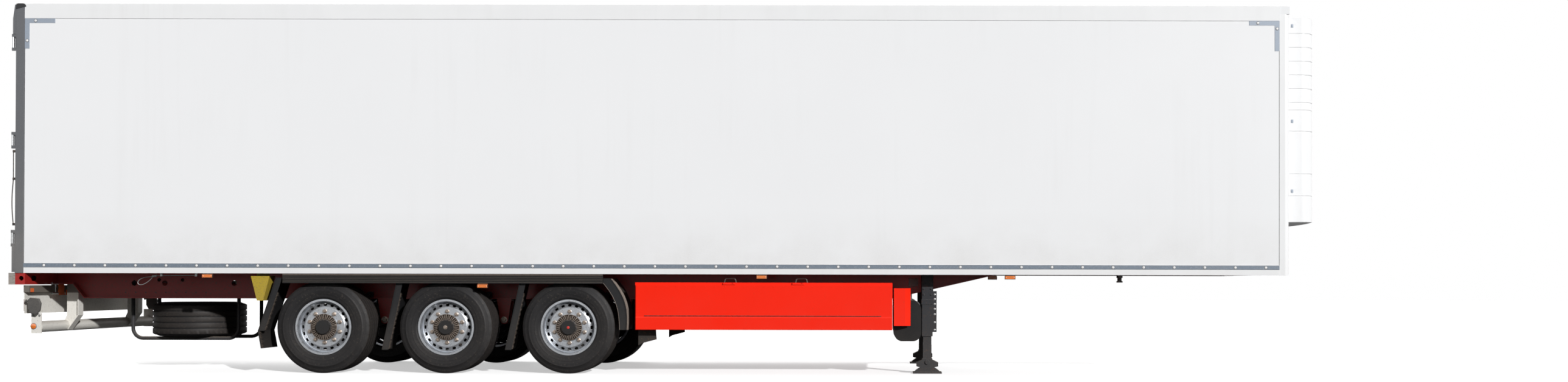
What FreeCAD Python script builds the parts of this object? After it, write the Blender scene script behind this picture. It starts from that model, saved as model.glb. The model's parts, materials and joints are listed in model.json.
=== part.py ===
"""Insulated box semi trailer with three axles, parked on its landing legs.

X points forward, Y to the trailer's left, Z up. The ground is z = 0, and x = 0 is
halfway between the rear buffers and the front of the cooling unit. All sizes are in
millimetres. The sheet Sizes holds what is chosen, the sheet Places what follows from it.
"""
import FreeCAD, Part
import math
import os
import re
import Sketcher

from FreeCAD import Placement, Rotation, Vector

SIZES = {
    # Insulated body
    "body_length": 13520,
    "half_width": 1300,
    "body_bottom": 1062,
    "roof_top": 3917,
    "edge_proud": 10,
    "side_wall": 60,
    "front_wall": 80,
    "roof_thick": 80,
    "floor_thick": 110,
    "floor_under": 1150,
    "frame_depth": 90,
    "post_width": 70,
    "header_height": 120,
    "post_chamfer": 25,
    "front_post": 110,
    "front_post_radius": 50,
    # Profiles along the body's edges
    "edge_height": 105,
    "edge_sheet": 4,
    "edge_lip": 40,
    "edge_shelf": 80,
    "rub_height": 46,
    "roof_edge_height": 154,
    "roof_edge_sheet": 6,
    "corner_arm": 320,
    "corner_width": 48,
    "corner_sheet": 3,
    # Rear doors, their hinges and their lock gear
    "leaf_recess": 30,
    "leaf_thick": 85,
    "leaf_gap": 6,
    "leaf_half_gap": 14,
    "pin_back": 45,
    "pin_inset": 28,
    "pin_radius": 10,
    "pin_clearance": 0.4,
    "knuckle_radius": 14,
    "hinge_height": 175,
    "lug_height": 30,
    "lug_width": 28,
    "lug_gap": 0.8,
    "strap_thick": 12,
    "strap_pad": 150,
    "strap_seat": 20,
    "hinge_rise": 170,
    "hinge_drop": 407,
    "rod_radius": 12,
    "rod_stand": 24,
    "rod_inset": 212,
    "rod_pitch": 620,
    "cam_thick": 7,
    "cam_gap": 5,
    "cam_width": 34,
    "cam_reach": 45,
    "keeper_width": 18,
    "keeper_gap": 8,
    "keeper_depth": 12,
    "lever_rise": 220,
    "lever_length": 340,
    "lever_bar": 36,
    "lever_thick": 12,
    "guide_height": 60,
    "guide_width": 52,
    "cover_depth": 38,
    "cover_width": 34,
    "cover_gap": 8,
    "cover_slant": 150,
    "cover_top_share": 0.45,
    # Cooling unit on the front wall
    "unit_depth": 430,
    "unit_half_width": 1025,
    "unit_bottom": 1640,
    "unit_top": 3840,
    "unit_side": 200,
    "unit_corner_radius": 150,
    "unit_brow_radius": 60,
    "groove_depth": 6,
    "groove_width": 9,
    "groove_top": 3672,
    "groove_pitch": 149,
    "belt_high": 2845,
    "belt_middle": 2618,
    "belt_low": 2158,
    "belt_foot": 1920,
    "grille_half": 780,
    "grille_low": 2985,
    "grille_high": 3615,
    "grille_back": 290,
    "grille_inset": 5,
    "slat_depth": 26,
    "slat_thick": 9,
    "slat_bar": 12,
    # Chassis
    "rail_centre": 650,
    "rail_web": 10,
    "rail_flange": 140,
    "flange_thick": 12,
    "rail_bottom": 789,
    "tail_bottom": 944,
    "tail_length": 300,
    "tail_slope": 120,
    "neck_to_nose": 4270,
    "neck_slope_length": 1250,
    "neck_end_to_nose": 220,
    "member_height": 62,
    "member_width": 60,
    "member_first": 900,
    "outrigger_width": 45,
    "hole_first": 942,
    "hole_second": 1215,
    "hole_third": 1278,
    "hole_fourth": 1473,
    "hole_fifth": 2044,
    "hole_radius": 30,
    "hole_small_radius": 20,
    "hole_rise": 167,
    "hole_high_rise": 203,
    "coupling_to_nose": 120,
    "coupling_length": 2500,
    "coupling_half_width": 760,
    "coupling_thick": 10,
    "kingpin_from_front": 1600,
    "kingpin_neck_radius": 25.4,
    "kingpin_flange_radius": 36.4,
    "kingpin_flange_height": 18,
    "kingpin_neck_height": 35,
    "kingpin_collar_radius": 35.75,
    "kingpin_collar_height": 31,
    "kingpin_head_radius": 80,
    "kingpin_head_height": 10,
    "kingpin_fit": 1.25,
    # Tail: buffers, lamps and underrun bumper
    "buffer_reach": 71,
    "buffer_width": 180,
    "tail_beam_bottom": 939,
    "tail_beam_depth": 103,
    "tail_beam_wall": 8,
    "tail_slot_rise": 66,
    "tail_slot_half": 29,
    "tail_slot_flat": 21,
    "tail_slot_out": 1120,
    "tail_slot_in": 480,
    "tail_eye_radius": 25,
    "tail_eye_back": 64,
    "light_bar_back": 62,
    "light_bar_depth": 60,
    "light_bar_bottom": 855,
    "light_bar_height": 75,
    "light_bar_half": 1240,
    "lamp_plate_thick": 6,
    "lamp_plate_bottom": 630,
    "lamp_plate_half": 1230,
    "lamp_length": 420,
    "lamp_height": 130,
    "lamp_depth": 40,
    "lamp_inset": 60,
    "lamp_rise": 25,
    "bumper_radius": 60,
    "bumper_height": 488,
    "bumper_back": 175,
    "bumper_half": 1190,
    "bumper_plate_thick": 8,
    "bumper_plate_length": 110,
    "bumper_plate_top": 633,
    "bumper_plate_bottom": 420,
    "arm_back": 200,
    "arm_front": 350,
    "arm_thick": 10,
    "arm_low": 440,
    "arm_knee": 600,
    "arm_flange": 100,
    # Landing legs
    "leg_to_nose": 3834,
    "leg_centre": 970,
    "leg_outer": 115,
    "leg_inner": 90,
    "leg_outer_bottom": 400,
    "foot_length": 310,
    "foot_width": 200,
    "foot_thick": 16,
    "foot_rocker": 60,
    "foot_round": 190,
    "foot_block": 53,
    "foot_block_top": 163,
    "foot_wing": 117,
    "foot_wing_low": 76,
    "foot_wing_high": 117,
    "foot_wing_top": 148,
    "foot_pin_height": 122,
    "foot_pin_radius": 24,
    "foot_pin_reach": 14,
    "collar_over": 6,
    "collar_low": 745,
    "collar_tall": 52,
    "strip_width": 42,
    "strip_thick": 8,
    "strip_bottom": 446,
    "strip_top": 887,
    "brace_height": 600,
    "brace_radius": 25,
    "bracket_bottom": 770,
    "bracket_half": 66,
    "bracket_thick": 10,
    # Pallet box
    "box_to_axle": 720,
    "box_to_nose": 4213,
    "box_bottom": 471,
    "box_top": 975,
    "box_half": 1250,
    "box_sheet": 4,
    "box_step": 740,
    "mouth_margin": 40,
    "box_mouth_bottom": 520,
    "box_mouth_top": 930,
    "flap_thick": 14,
    "flap_gap": 0.5,
    "flap_over": 18,
    "flap_end_over": 30,
    "flap_foot_over": 46,
    "swage_height": 600,
    "swage_rise": 12,
    "swage_proud": 6,
    "flap_hinge": 7,
    "flap_pin": 4,
    "flap_knuckle": 80,
    "flap_knuckle_share": 0.1385,
    "flap_lug": 24,
    # Fuel tank and its guards
    "tank_to_leg": 361,
    "tank_length": 290,
    "tank_bottom": 350,
    "tank_inset": 98,
    "tank_radius": 90,
    "tank_strap_width": 50,
    "tank_strap_thick": 6,
    "guard_to_box": 16,
    "guard_length": 120,
    "guard_fold_length": 54,
    "guard_fold": 50,
    "guard_bottom": 518,
    "guard_top": 918,
    "guard_sheet": 4,
    "guard_proud": 2,
    "guard_stay": 40,
    # Wheels
    "axle_first": 3230,
    "axle_pitch": 1310,
    "tyre_radius": 492,
    "track_half": 1020,
    "tyre_half": 192,
    "tread_half": 158,
    "tyre_shoulder": 28,
    "tyre_flank": 100,
    "tyre_wall": 24,
    "bead_half": 150,
    "rim_seat": 286,
    "rim_flange": 12.5,
    "rim_flange_width": 12,
    "rim_wall": 9,
    "rim_drop": 22,
    "rim_drop_half": 70,
    "rim_well_slope": 35,
    "disc_offset": 106,
    "disc_thick": 14,
    "disc_flat": 210,
    "disc_dish": 26,
    "hub_radius": 139,
    "hub_reach": 30,
    "hub_cap_radius": 73,
    "hub_cap_reach": 34,
    "hub_back": 70,
    "hub_back_radius": 90,
    "vent_circle": 236,
    "vent_half": 13,
    "vent_flat": 7,
    "slot_inner": 84,
    "slot_outer": 130,
    "slot_half": 5.5,
    "slot_depth": 14,
    "cut_over": 5,
    "bearing_gap": 0.3,
    "spindle_radius": 44,
    "spindle_tip": 12,
    # Axles and suspension
    "axle_radius": 64,
    "axle_half": 905,
    "brake_radius": 205,
    "brake_thick": 45,
    "brake_gap": 12,
    "caliper_length": 300,
    "caliper_reach": 235,
    "caliper_width": 110,
    "chamber_radius": 75,
    "chamber_length": 175,
    "hanger_forward": 500,
    "hanger_length": 160,
    "hanger_width": 130,
    "hanger_sheet": 12,
    "pivot_height": 560,
    "pivot_radius": 45,
    "arm_width": 90,
    "arm_depth": 55,
    "arm_seat_half": 95,
    "arm_tail": 430,
    "spring_radius": 150,
    "spring_back": 380,
    "spring_base": 545,
    "spring_waist": 24,
    "spring_foot_radius": 105,
    "spring_foot": 70,
    "lobe_height": 80,
    "lobe_round": 46,
    # Mudguards and flaps
    "mud_inner": 835,
    "mud_outer": 1240,
    "skirt_thick": 40,
    "skirt_bottom": 960,
    "cover_back_reach": 488,
    "cover_front_reach": 455,
    "skirt_back_reach": 400,
    "skirt_front_reach": 380,
    "rib_count": 5,
    "rib_groove": 5,
    "rib_groove_depth": 4,
    "cover_sheet": 6,
    "cover_height": 1012,
    "flap_sheet": 12,
    "rear_flap_bend_back": 675,
    "rear_flap_bend_height": 452,
    "rear_flap_foot_back": 642,
    "rear_flap_foot_height": 265,
    "flap_head_back": 505,
    "flap_foot_back": 665,
    "flap_foot_height": 254,
    "front_flap_foot_reach": 610,
    "front_flap_foot_height": 469,
    "front_flap_round": 640,
    # Spare wheel
    "spare_place": 1370,
    "spare_bottom": 355,
    "carrier_radius": 20,
    "carrier_bend": 115,
    "carrier_offset": 300,
    "carrier_back": 752,
    "carrier_front": 1943,
    # Smaller gear under the body
    "air_tank_radius": 130,
    "air_tank_length": 620,
    "marker_length": 104,
    "marker_height": 32,
    "marker_depth": 26,
    "marker_sheet": 4,
    "marker_first": 2034,
    "marker_second": 4955,
    "marker_third": 7918,
    "marker_fourth": 10555,
    "marker_drop": 12,
    "chock_back": 2475,
    "chock_length": 200,
    "chock_top": 1036,
    "chock_bottom": 773,
    "chock_width": 150,
    "chock_in": 1085,
    "chock_plate": 6,
    # Numbers of like pieces
    "member_count": 13,
    "groove_count": 6,
    "slat_count": 12,
    "vent_count": 20,
    "slot_count": 18,
}

PLACES = {
    "tail": "(buffer_reach - body_length - unit_depth) / 2",
    "nose": "tail + body_length",
    "panel_out": "half_width - edge_proud",
    "panel_in": "panel_out - side_wall",
    "panel_back": "tail + frame_depth",
    "panel_front": "nose - front_post",
    "floor_top": "floor_under + floor_thick",
    "roof_under": "roof_top - roof_thick",
    "edge_top": "body_bottom + edge_height",
    "mouth_half": "half_width - post_width",
    "mouth_top": "roof_top - header_height",
    "leaf_back": "tail + leaf_recess",
    "leaf_out": "mouth_half - leaf_gap",
    "leaf_bottom": "floor_top + leaf_gap",
    "leaf_top": "mouth_top - leaf_gap",
    "pin_x": "tail - pin_back",
    "pin_y": "half_width - pin_inset",
    "lug_z": "hinge_height / 2 - lug_height",
    "hinge_low_z": "floor_top + hinge_rise",
    "hinge_high_z": "roof_top - hinge_drop",
    "hinge_middle_z": "(hinge_low_z + hinge_high_z) / 2",
    "rod_x": "leaf_back - rod_stand",
    "unit_bend": "unit_half_width - unit_corner_radius",
    "unit_bow_radius": "((unit_depth - unit_side)^2 + unit_bend^2 - unit_corner_radius^2)"
                       " / (2 * (unit_depth - unit_side - unit_corner_radius))",
    "unit_bow_x": "nose + unit_depth - unit_bow_radius",
    "bow_share": "unit_bow_radius / (unit_bow_radius - unit_corner_radius)",
    "shoulder_x": "unit_bow_x + (nose + unit_side - unit_bow_x) * bow_share",
    "shoulder_y": "unit_bend * bow_share",
    "slat_pitch": "(grille_high - grille_low - slat_thick) / (slat_count - 1)",
    "arm_top": "tail_bottom - (tail_bottom - rail_bottom) * (arm_front - tail_length) / tail_slope",
    "rail_out": "rail_centre + rail_flange / 2",
    "rail_in": "rail_centre - rail_flange / 2",
    "web_out": "rail_centre + rail_web / 2",
    "web_in": "rail_centre - rail_web / 2",
    "neck_back_x": "nose - neck_to_nose",
    "neck_x": "neck_back_x + neck_slope_length",
    "neck_end_x": "nose - neck_end_to_nose",
    "member_pitch": "(neck_end_x - tail - member_first - member_width) / (member_count - 1)",
    "member_under": "floor_under - member_height",
    "neck_bottom": "member_under - flange_thick",
    "kingpin_x": "nose - kingpin_from_front",
    "plate_under": "neck_bottom - coupling_thick",
    "bumper_x": "tail + bumper_back",
    "axle_rear_x": "tail + axle_first",
    "axle_front_x": "tail + axle_first + 2 * axle_pitch",
    "leg_x": "nose - leg_to_nose",
    "box_x": "axle_front_x + box_to_axle",
    "box_end_x": "nose - box_to_nose",
    "mouth_back": "box_x + mouth_margin",
    "mouth_front": "box_end_x - mouth_margin",
    "flap_in": "box_half + flap_gap",
    "flap_out": "flap_in + flap_thick",
    "flap_bottom": "box_mouth_bottom - flap_foot_over",
    "flap_top": "box_mouth_top + flap_over",
    "flap_axis_z": "flap_top + flap_hinge + lug_gap",
    "bead_outer": "bead_half + rim_flange_width",
    "disc_back": "track_half + disc_offset",
    "spare_z": "spare_bottom + tyre_half",
    "spare_x": "tail + spare_place",
    "guard_place": "box_half + guard_proud",
    "guard_y": "guard_place - guard_sheet",
    "guard_x": "box_end_x + guard_to_box",
    "tank_half": "guard_y - tank_inset",
    "tank_x": "leg_x - tank_to_leg",
    "tank_end_x": "tank_x + tank_length",
}

doc = FreeCAD.newDocument("SemiTrailer")
nodes = []


def fill_sheet(name, cells):
    """A sheet with one named cell for each value or formula."""
    sheet = doc.addObject("Spreadsheet::Sheet", name)
    for row, (alias, content) in enumerate(cells.items(), start=1):
        sheet.set(f"A{row}", alias)
        sheet.set(f"B{row}", str(content))
        sheet.setAlias(f"B{row}", alias)
    sheet.recompute()
    return sheet


def formula(text, at_home=()):
    """Names in a formula become cells of the sheets."""
    def cell(found):
        word = found.group()
        if word in SIZES:
            return "Sizes." + word
        if word in PLACES:
            return word if word in at_home else "Places." + word
        return word
    return re.sub(r"[a-z][a-z_0-9]*", cell, text)


sizes = fill_sheet("Sizes", SIZES)
places = fill_sheet("Places", {name: "=" + formula(text, PLACES) for name, text in PLACES.items()})
desk = doc.addObject("Spreadsheet::Sheet", "Desk")
doc.recompute()


def number(text):
    """What a formula comes to at the present sizes."""
    desk.set("A1", "=" + formula(text))
    desk.recompute()
    return float(desk.get("A1"))


def tie(thing, **formulas):
    """Bind properties to formulas."""
    for name, text in formulas.items():
        thing.setExpression(name, formula(text))
    return thing


def put(thing, at, turn=None):
    """Bind the place of a piece to three formulas."""
    if turn is not None:
        thing.Placement = Placement(Vector(), turn)
    for axis, text in zip("xyz", at):
        thing.setExpression("Placement.Base." + axis, formula(text))
    return thing


ALONG = {
    "X": Rotation(Vector(0, 1, 0), 90),
    "Y": Rotation(Vector(1, 0, 0), -90),
    "Z": Rotation(),
}
ON_PLANE = {
    "XY": (Rotation(), Vector(0, 0, 1)),
    "XZ": (Rotation(Vector(1, 0, 0), 90), Vector(0, 1, 0)),
    "YZ": (Rotation(Vector(1, 1, 1), 120), Vector(1, 0, 0)),
}
ROLES = {"XY": "XY_Plane", "XZ": "XZ_Plane", "YZ": "YZ_Plane"}


def box(name, at, size):
    """A block, by its lowest corner and its three sizes."""
    piece = doc.addObject("Part::Box", name)
    tie(piece, Length=size[0], Width=size[1], Height=size[2])
    return put(piece, at)


def rod(name, at, radius, length, along="Z"):
    """A round bar from a point along an axis."""
    piece = doc.addObject("Part::Cylinder", name)
    tie(piece, Radius=radius, Height=length)
    return put(piece, at, ALONG[along])


def cut(name, base, *tools):
    """One piece less others."""
    tool = tools[0] if len(tools) == 1 else joined(name + "Tools", tools)
    piece = doc.addObject("Part::Cut", name)
    piece.Base = base
    piece.Tool = tool
    return piece


def tube(name, at, radius, bore, length, along="Z"):
    """A round tube from a point along an axis."""
    return cut(name, rod(name + "Outside", at, radius, length, along),
               rod(name + "Bore", at, bore, length, along))


def joined(name, pieces):
    """Pieces welded into one."""
    piece = doc.addObject("Part::MultiFuse", name)
    piece.Shapes = list(pieces)
    return piece


def group(name, pieces):
    """Like pieces that don't touch."""
    piece = doc.addObject("Part::Compound", name)
    piece.Links = list(pieces)
    return piece


def mirrored(name, source):
    """The same piece on the trailer's other side."""
    piece = doc.addObject("Part::Mirroring", name)
    piece.Source = source
    piece.Normal = (0, 1, 0)
    return piece


def both_sides(name, source):
    """A piece and its mirror image as one node."""
    return group(name, [source, mirrored(name + "Mirror", source)])


def draw(sketch, corners):
    """A closed outline of lines and arcs, every corner bound to two formulas.

    A corner is (across, up) or (across, up, radius, side): then the edge that leaves it
    is an arc of that radius, with its centre to the left for side 1 and right for -1.
    The radius "half" makes a half circle over an upright or level edge.
    """
    points = [Vector(number(corner[0]), number(corner[1])) for corner in corners]
    edges = []
    starts = []
    ends = []
    for index, corner in enumerate(corners):
        a = points[index]
        b = points[(index + 1) % len(points)]
        if len(corner) == 2:
            edges.append(Part.LineSegment(a, b))
            starts.append(1)
            ends.append(2)
            continue
        half_turn = corner[2] == "half"
        radius = (b - a).Length / 2 if half_turn else number(corner[2])
        side = corner[3]
        middle = (a + b) * 0.5
        reach = math.sqrt(max(radius ** 2 - (b - a).Length ** 2 / 4, 0))
        across = Vector(a.y - b.y, b.x - a.x).normalize() * reach * side
        centre = middle + across
        circle = Part.Circle(centre, Vector(0, 0, 1), radius)
        from_angle = math.atan2(a.y - centre.y, a.x - centre.x)
        to_angle = math.atan2(b.y - centre.y, b.x - centre.x)
        if side < 0:
            from_angle, to_angle = to_angle, from_angle
        if to_angle < from_angle:
            to_angle += 2 * math.pi
        edges.append(Part.ArcOfCircle(circle, from_angle, to_angle))
        starts.append(1 if side > 0 else 2)
        ends.append(2 if side > 0 else 1)
    sketch.addGeometry(edges, False)
    rules = []
    names = []
    for index, corner in enumerate(corners):
        after = (index + 1) % len(corners)
        rules.append(Sketcher.Constraint("Coincident", index, ends[index], after, starts[after]))
        names.append(None)
    for index, corner in enumerate(corners):
        rules.append(Sketcher.Constraint("DistanceX", -1, 1, index, starts[index], points[index].x))
        names.append(corner[0])
        rules.append(Sketcher.Constraint("DistanceY", -1, 1, index, starts[index], points[index].y))
        names.append(corner[1])
        if len(corner) == 2:
            continue
        after = points[(index + 1) % len(points)]
        if corner[2] != "half":
            rules.append(Sketcher.Constraint("Radius", index, number(corner[2])))
            names.append(corner[2])
        elif abs(after.x - points[index].x) < abs(after.y - points[index].y):
            rules.append(Sketcher.Constraint("DistanceX", -1, 1, index, 3, points[index].x))
            names.append(corner[0])
        else:
            rules.append(Sketcher.Constraint("DistanceY", -1, 1, index, 3, points[index].y))
            names.append(corner[1])
    sketch.addConstraint(rules)
    for index, text in enumerate(names):
        if text is not None:
            sketch.setExpression(f"Constraints[{index}]", formula(text))
    return sketch


def slab(name, plane, corners, start, depth):
    """An outline on a plane, drawn out from one place over a depth."""
    turn, way = ON_PLANE[plane]
    outline = draw(doc.addObject("Sketcher::SketchObject", name + "Outline"), corners)
    at = {"XY": ("0", "0", start), "XZ": ("0", start, "0"), "YZ": (start, "0", "0")}[plane]
    put(outline, at, turn)
    piece = doc.addObject("Part::Extrusion", name)
    piece.Base = outline
    piece.DirMode = "Custom"
    piece.Dir = way
    piece.Solid = True
    return tie(piece, LengthFwd=depth)


def rounded(left, low, right, high, radius):
    """Corners of a rectangle whose corners are round."""
    return [
        (f"{left} + {radius}", low),
        (f"{right} - {radius}", low, radius, 1),
        (right, f"{low} + {radius}"),
        (right, f"{high} - {radius}", radius, 1),
        (f"{right} - {radius}", high),
        (f"{left} + {radius}", high, radius, 1),
        (left, f"{high} - {radius}"),
        (left, f"{low} + {radius}", radius, 1),
    ]


def plane_of(body, plane):
    """One of a body's own three planes."""
    return next(item for item in body.Origin.OriginFeatures if item.Role == ROLES[plane])


def body_sketch(body, name, plane, corners):
    """An outline on one of a body's planes."""
    sketch = body.newObject("Sketcher::SketchObject", name)
    sketch.AttachmentSupport = (plane_of(body, plane), [""])
    sketch.MapMode = "FlatFace"
    return draw(sketch, corners)


def turned(name, corners):
    """A body turned about its own Y axis from an outline of (along, radius) corners."""
    body = doc.addObject("PartDesign::Body", name)
    outline = body_sketch(body, name + "Outline", "YZ", corners)
    turning = body.newObject("PartDesign::Revolution", name + "Turn")
    turning.Profile = outline
    turning.ReferenceAxis = (outline, ["H_Axis"])
    turning.Angle = 360
    outline.Visibility = False
    body.Tip = turning
    return body


def node(label, piece):
    """Name a finished piece as a part of the trailer."""
    piece.Label = label
    nodes.append(piece)
    return piece


def box_body():
    """Floor, walls and roof, each as thick as the whole panel."""
    length = "panel_front - panel_back"
    node("floor", box("Floor", ("panel_back", "-panel_in", "floor_under"),
                      ("nose - front_wall - panel_back", "2 * panel_in", "floor_thick")))
    wall = box("SideWall", ("panel_back", "panel_in", "floor_under"),
               (length, "side_wall", "roof_under - floor_under"))
    node("side_wall_left", wall)
    node("side_wall_right", mirrored("SideWallMirror", wall))
    node("roof", box("Roof", ("panel_back", "-panel_out", "roof_under"),
                     ("nose - panel_back", "2 * panel_out", "roof_thick")))
    node("front_wall", box("FrontWall", ("nose - front_wall", "-panel_in", "floor_under"),
                           ("front_wall", "2 * panel_in", "roof_under - floor_under")))
    post = slab("FrontPost", "XY", [
        ("panel_front", "panel_in"),
        ("nose", "panel_in"),
        ("nose", "panel_out - front_post_radius", "front_post_radius", 1),
        ("nose - front_post_radius", "panel_out"),
        ("panel_front", "panel_out"),
    ], "body_bottom", "roof_under - body_bottom")
    node("front_corner_posts", both_sides("FrontPosts", post))


def edge_profiles():
    """Floor edge and roof edge profiles, rub rails and corner plates."""
    length = "panel_front - panel_back"
    edge = slab("FloorEdge", "YZ", [
        ("panel_out + edge_sheet", "body_bottom"),
        ("panel_out + edge_sheet", "edge_top"),
        ("panel_out", "edge_top"),
        ("panel_out", "floor_under"),
        ("panel_out - edge_shelf", "floor_under"),
        ("panel_out - edge_shelf", "floor_under - edge_sheet"),
        ("panel_out", "floor_under - edge_sheet"),
        ("panel_out", "body_bottom + edge_sheet"),
        ("panel_out - edge_lip", "body_bottom + edge_sheet"),
        ("panel_out - edge_lip", "body_bottom"),
    ], "panel_back", length)
    node("floor_edge_profiles", both_sides("FloorEdges", edge))
    rub = slab("RubRail", "YZ", [
        ("panel_out + edge_sheet", "edge_top - rub_height"),
        ("half_width", "edge_top - rub_height + edge_sheet"),
        ("half_width", "edge_top - edge_sheet"),
        ("panel_out + edge_sheet", "edge_top"),
    ], "panel_back", length)
    node("rub_rails", both_sides("RubRails", rub))
    top = slab("RoofEdge", "YZ", [
        ("panel_out", "roof_top - roof_edge_height"),
        ("panel_out + roof_edge_sheet", "roof_top - roof_edge_height"),
        ("panel_out + roof_edge_sheet", "roof_top"),
        ("panel_out", "roof_top"),
    ], "panel_back", length)
    node("roof_edge_profiles", both_sides("RoofEdges", top))
    under = "roof_top - roof_edge_height"
    plates = []
    for name, start, side in (("RearPlate", "panel_back", "panel_back"),
                              ("FrontPlate", "panel_front - corner_arm", "panel_front - corner_width")):
        plates.append(joined(name, [
            box(name + "Top", (start, "panel_out", f"{under} - corner_width"),
                ("corner_arm", "corner_sheet", "corner_width")),
            box(name + "Down", (side, "panel_out", f"{under} - corner_arm"),
                ("corner_width", "corner_sheet", "corner_arm")),
        ]))
    node("corner_plates", both_sides("CornerPlates", group("CornerPlatesLeft", plates)))


def rear_frame():
    """Portal round the doors, with the hinge lugs, pins and lock keepers welded on."""
    post = slab("RearPost", "XY", [
        ("tail", "mouth_half + post_chamfer"),
        ("tail + post_chamfer", "mouth_half"),
        ("panel_back", "mouth_half"),
        ("panel_back", "half_width"),
        ("tail", "half_width"),
    ], "body_bottom", "roof_top - body_bottom")
    pieces = [post]
    for index, place in enumerate(("hinge_low_z", "hinge_middle_z", "hinge_high_z")):
        for end, low in (("Low", f"{place} - hinge_height / 2"), ("High", f"{place} + lug_z")):
            pieces.append(slab(f"Lug{index}{end}", "XY", [
                ("tail", "pin_y - lug_width / 2"),
                ("tail", "pin_y + lug_width / 2"),
                ("pin_x", "pin_y + lug_width / 2", "half", 1),
                ("pin_x", "pin_y - lug_width / 2"),
            ], low, "lug_height"))
        pieces.append(rod(f"Pin{index}", ("pin_x", "pin_y", f"{place} - hinge_height / 2"),
                          "pin_radius", "hinge_height"))
    cover_in = "half_width - cover_gap - cover_width"
    pieces.append(slab("CoverHigh", "XZ", [
        ("tail - cover_depth", "hinge_high_z + hinge_height / 2"),
        ("tail", "hinge_high_z + hinge_height / 2"),
        ("tail", "roof_top - cover_gap"),
        ("tail - cover_depth * cover_top_share", "roof_top - cover_gap"),
        ("tail - cover_depth", "roof_top - cover_gap - cover_slant"),
    ], cover_in, "cover_width"))
    pieces.append(box("CoverLow", ("tail - cover_depth", cover_in, "body_bottom + cover_gap"),
                      ("cover_depth", "cover_width",
                       "hinge_low_z - hinge_height / 2 - body_bottom - cover_gap")))
    for index in range(2):
        middle = f"leaf_out - rod_inset - {index} * rod_pitch"
        for side, shift in (("Out", "cam_width / 2 + keeper_gap"),
                            ("In", "-cam_width / 2 - keeper_gap - keeper_width")):
            pieces.append(box(f"KeeperHigh{index}{side}",
                              ("tail - keeper_depth", f"{middle} + {shift}", "mouth_top"),
                              ("keeper_depth", "keeper_width", "cam_reach")))
            pieces.append(box(f"KeeperLow{index}{side}",
                              ("tail - keeper_depth", f"{middle} + {shift}", "floor_top - cam_reach"),
                              ("keeper_depth", "keeper_width", "cam_reach")))
    half = joined("RearFrameHalf", pieces)
    header = box("RearHeader", ("tail", "-mouth_half - post_chamfer", "mouth_top"),
                 ("frame_depth", "2 * mouth_half + 2 * post_chamfer", "header_height"))
    sill = box("RearSill", ("tail", "-mouth_half - post_chamfer", "body_bottom"),
               ("frame_depth", "2 * mouth_half + 2 * post_chamfer", "floor_top - body_bottom"))
    node("rear_frame", joined("RearFrame", [half, mirrored("RearFrameMirror", half), header, sill]))


def doors():
    """Two leaves in the frame's mouth, with straps to the hinge pins and lock rods."""
    leaf = box("Leaf", ("leaf_back", "leaf_half_gap", "leaf_bottom"),
               ("leaf_thick", "leaf_out - leaf_half_gap", "leaf_top - leaf_bottom"))
    node("door_left", leaf)
    node("door_right", mirrored("LeafMirror", leaf))
    pieces = []
    for index, place in enumerate(("hinge_low_z", "hinge_middle_z", "hinge_high_z")):
        low = f"{place} - lug_z + lug_gap"
        tall = "2 * lug_z - 2 * lug_gap"
        body = joined(f"StrapBody{index}", [
            slab(f"Strap{index}", "XY", [
                ("pin_x - 0.7 * strap_thick", "pin_y"),
                ("leaf_back - strap_thick", "leaf_out - strap_seat - strap_thick"),
                ("leaf_back - strap_thick", "leaf_out - strap_seat - strap_pad"),
                ("leaf_back", "leaf_out - strap_seat - strap_pad"),
                ("leaf_back", "leaf_out - strap_seat"),
                ("pin_x", "pin_y + 0.7 * strap_thick"),
            ], low, tall),
            rod(f"Barrel{index}", ("pin_x", "pin_y", low), "knuckle_radius", tall),
        ])
        pieces.append(cut(f"HingeStrap{index}", body,
                          rod(f"StrapBore{index}", ("pin_x", "pin_y", low),
                              "pin_radius + pin_clearance", tall)))
    for index in range(2):
        middle = f"leaf_out - rod_inset - {index} * rod_pitch"
        parts = [rod(f"LockRod{index}", ("rod_x", middle, "leaf_bottom"), "rod_radius",
                     "leaf_top - leaf_bottom")]
        for end, low in (("Low", "floor_top - cam_reach"), ("High", "leaf_top - cam_reach")):
            parts.append(box(f"Cam{index}{end}",
                             ("tail - cam_gap - cam_thick", f"{middle} - cam_width / 2", low),
                             ("cam_thick", "cam_width", "2 * cam_reach")))
        for step in range(4):
            low = f"leaf_bottom + cam_reach + leaf_gap + {step} * (leaf_top - leaf_bottom - 3 * cam_reach) / 3"
            parts.append(box(f"Guide{index}{step}", ("rod_x", f"{middle} - guide_width / 2", low),
                             ("rod_stand", "guide_width", "guide_height")))
        parts.append(box(f"Lever{index}", ("rod_x - rod_radius", f"{middle} - lever_length",
                                           f"floor_top + lever_rise - {index} * 2 * lever_bar"),
                         ("lever_thick", "lever_length", "lever_bar")))
        parts.append(box(f"LeverStop{index}", ("rod_x", f"{middle} - lever_length",
                                               f"floor_top + lever_rise - {index} * 2 * lever_bar"),
                         ("rod_stand", "lever_bar", "lever_bar")))
        pieces.append(joined(f"LockGear{index}", parts))
    gear = group("DoorGear", pieces)
    node("door_gear_left", gear)
    node("door_gear_right", mirrored("DoorGearMirror", gear))


def unit_plan(inset):
    """Plan of the cooling unit: flat sides, round corners and a bowed front."""
    return [
        ("nose", f"{inset} - unit_half_width"),
        ("nose + unit_side", f"{inset} - unit_half_width", f"unit_corner_radius - {inset}", 1),
        (f"shoulder_x - {inset}", f"{inset} - shoulder_y", f"unit_bow_radius - {inset}", 1),
        (f"shoulder_x - {inset}", f"shoulder_y - {inset}", f"unit_corner_radius - {inset}", 1),
        ("nose + unit_side", f"unit_half_width - {inset}"),
        ("nose", f"unit_half_width - {inset}"),
    ]


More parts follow.
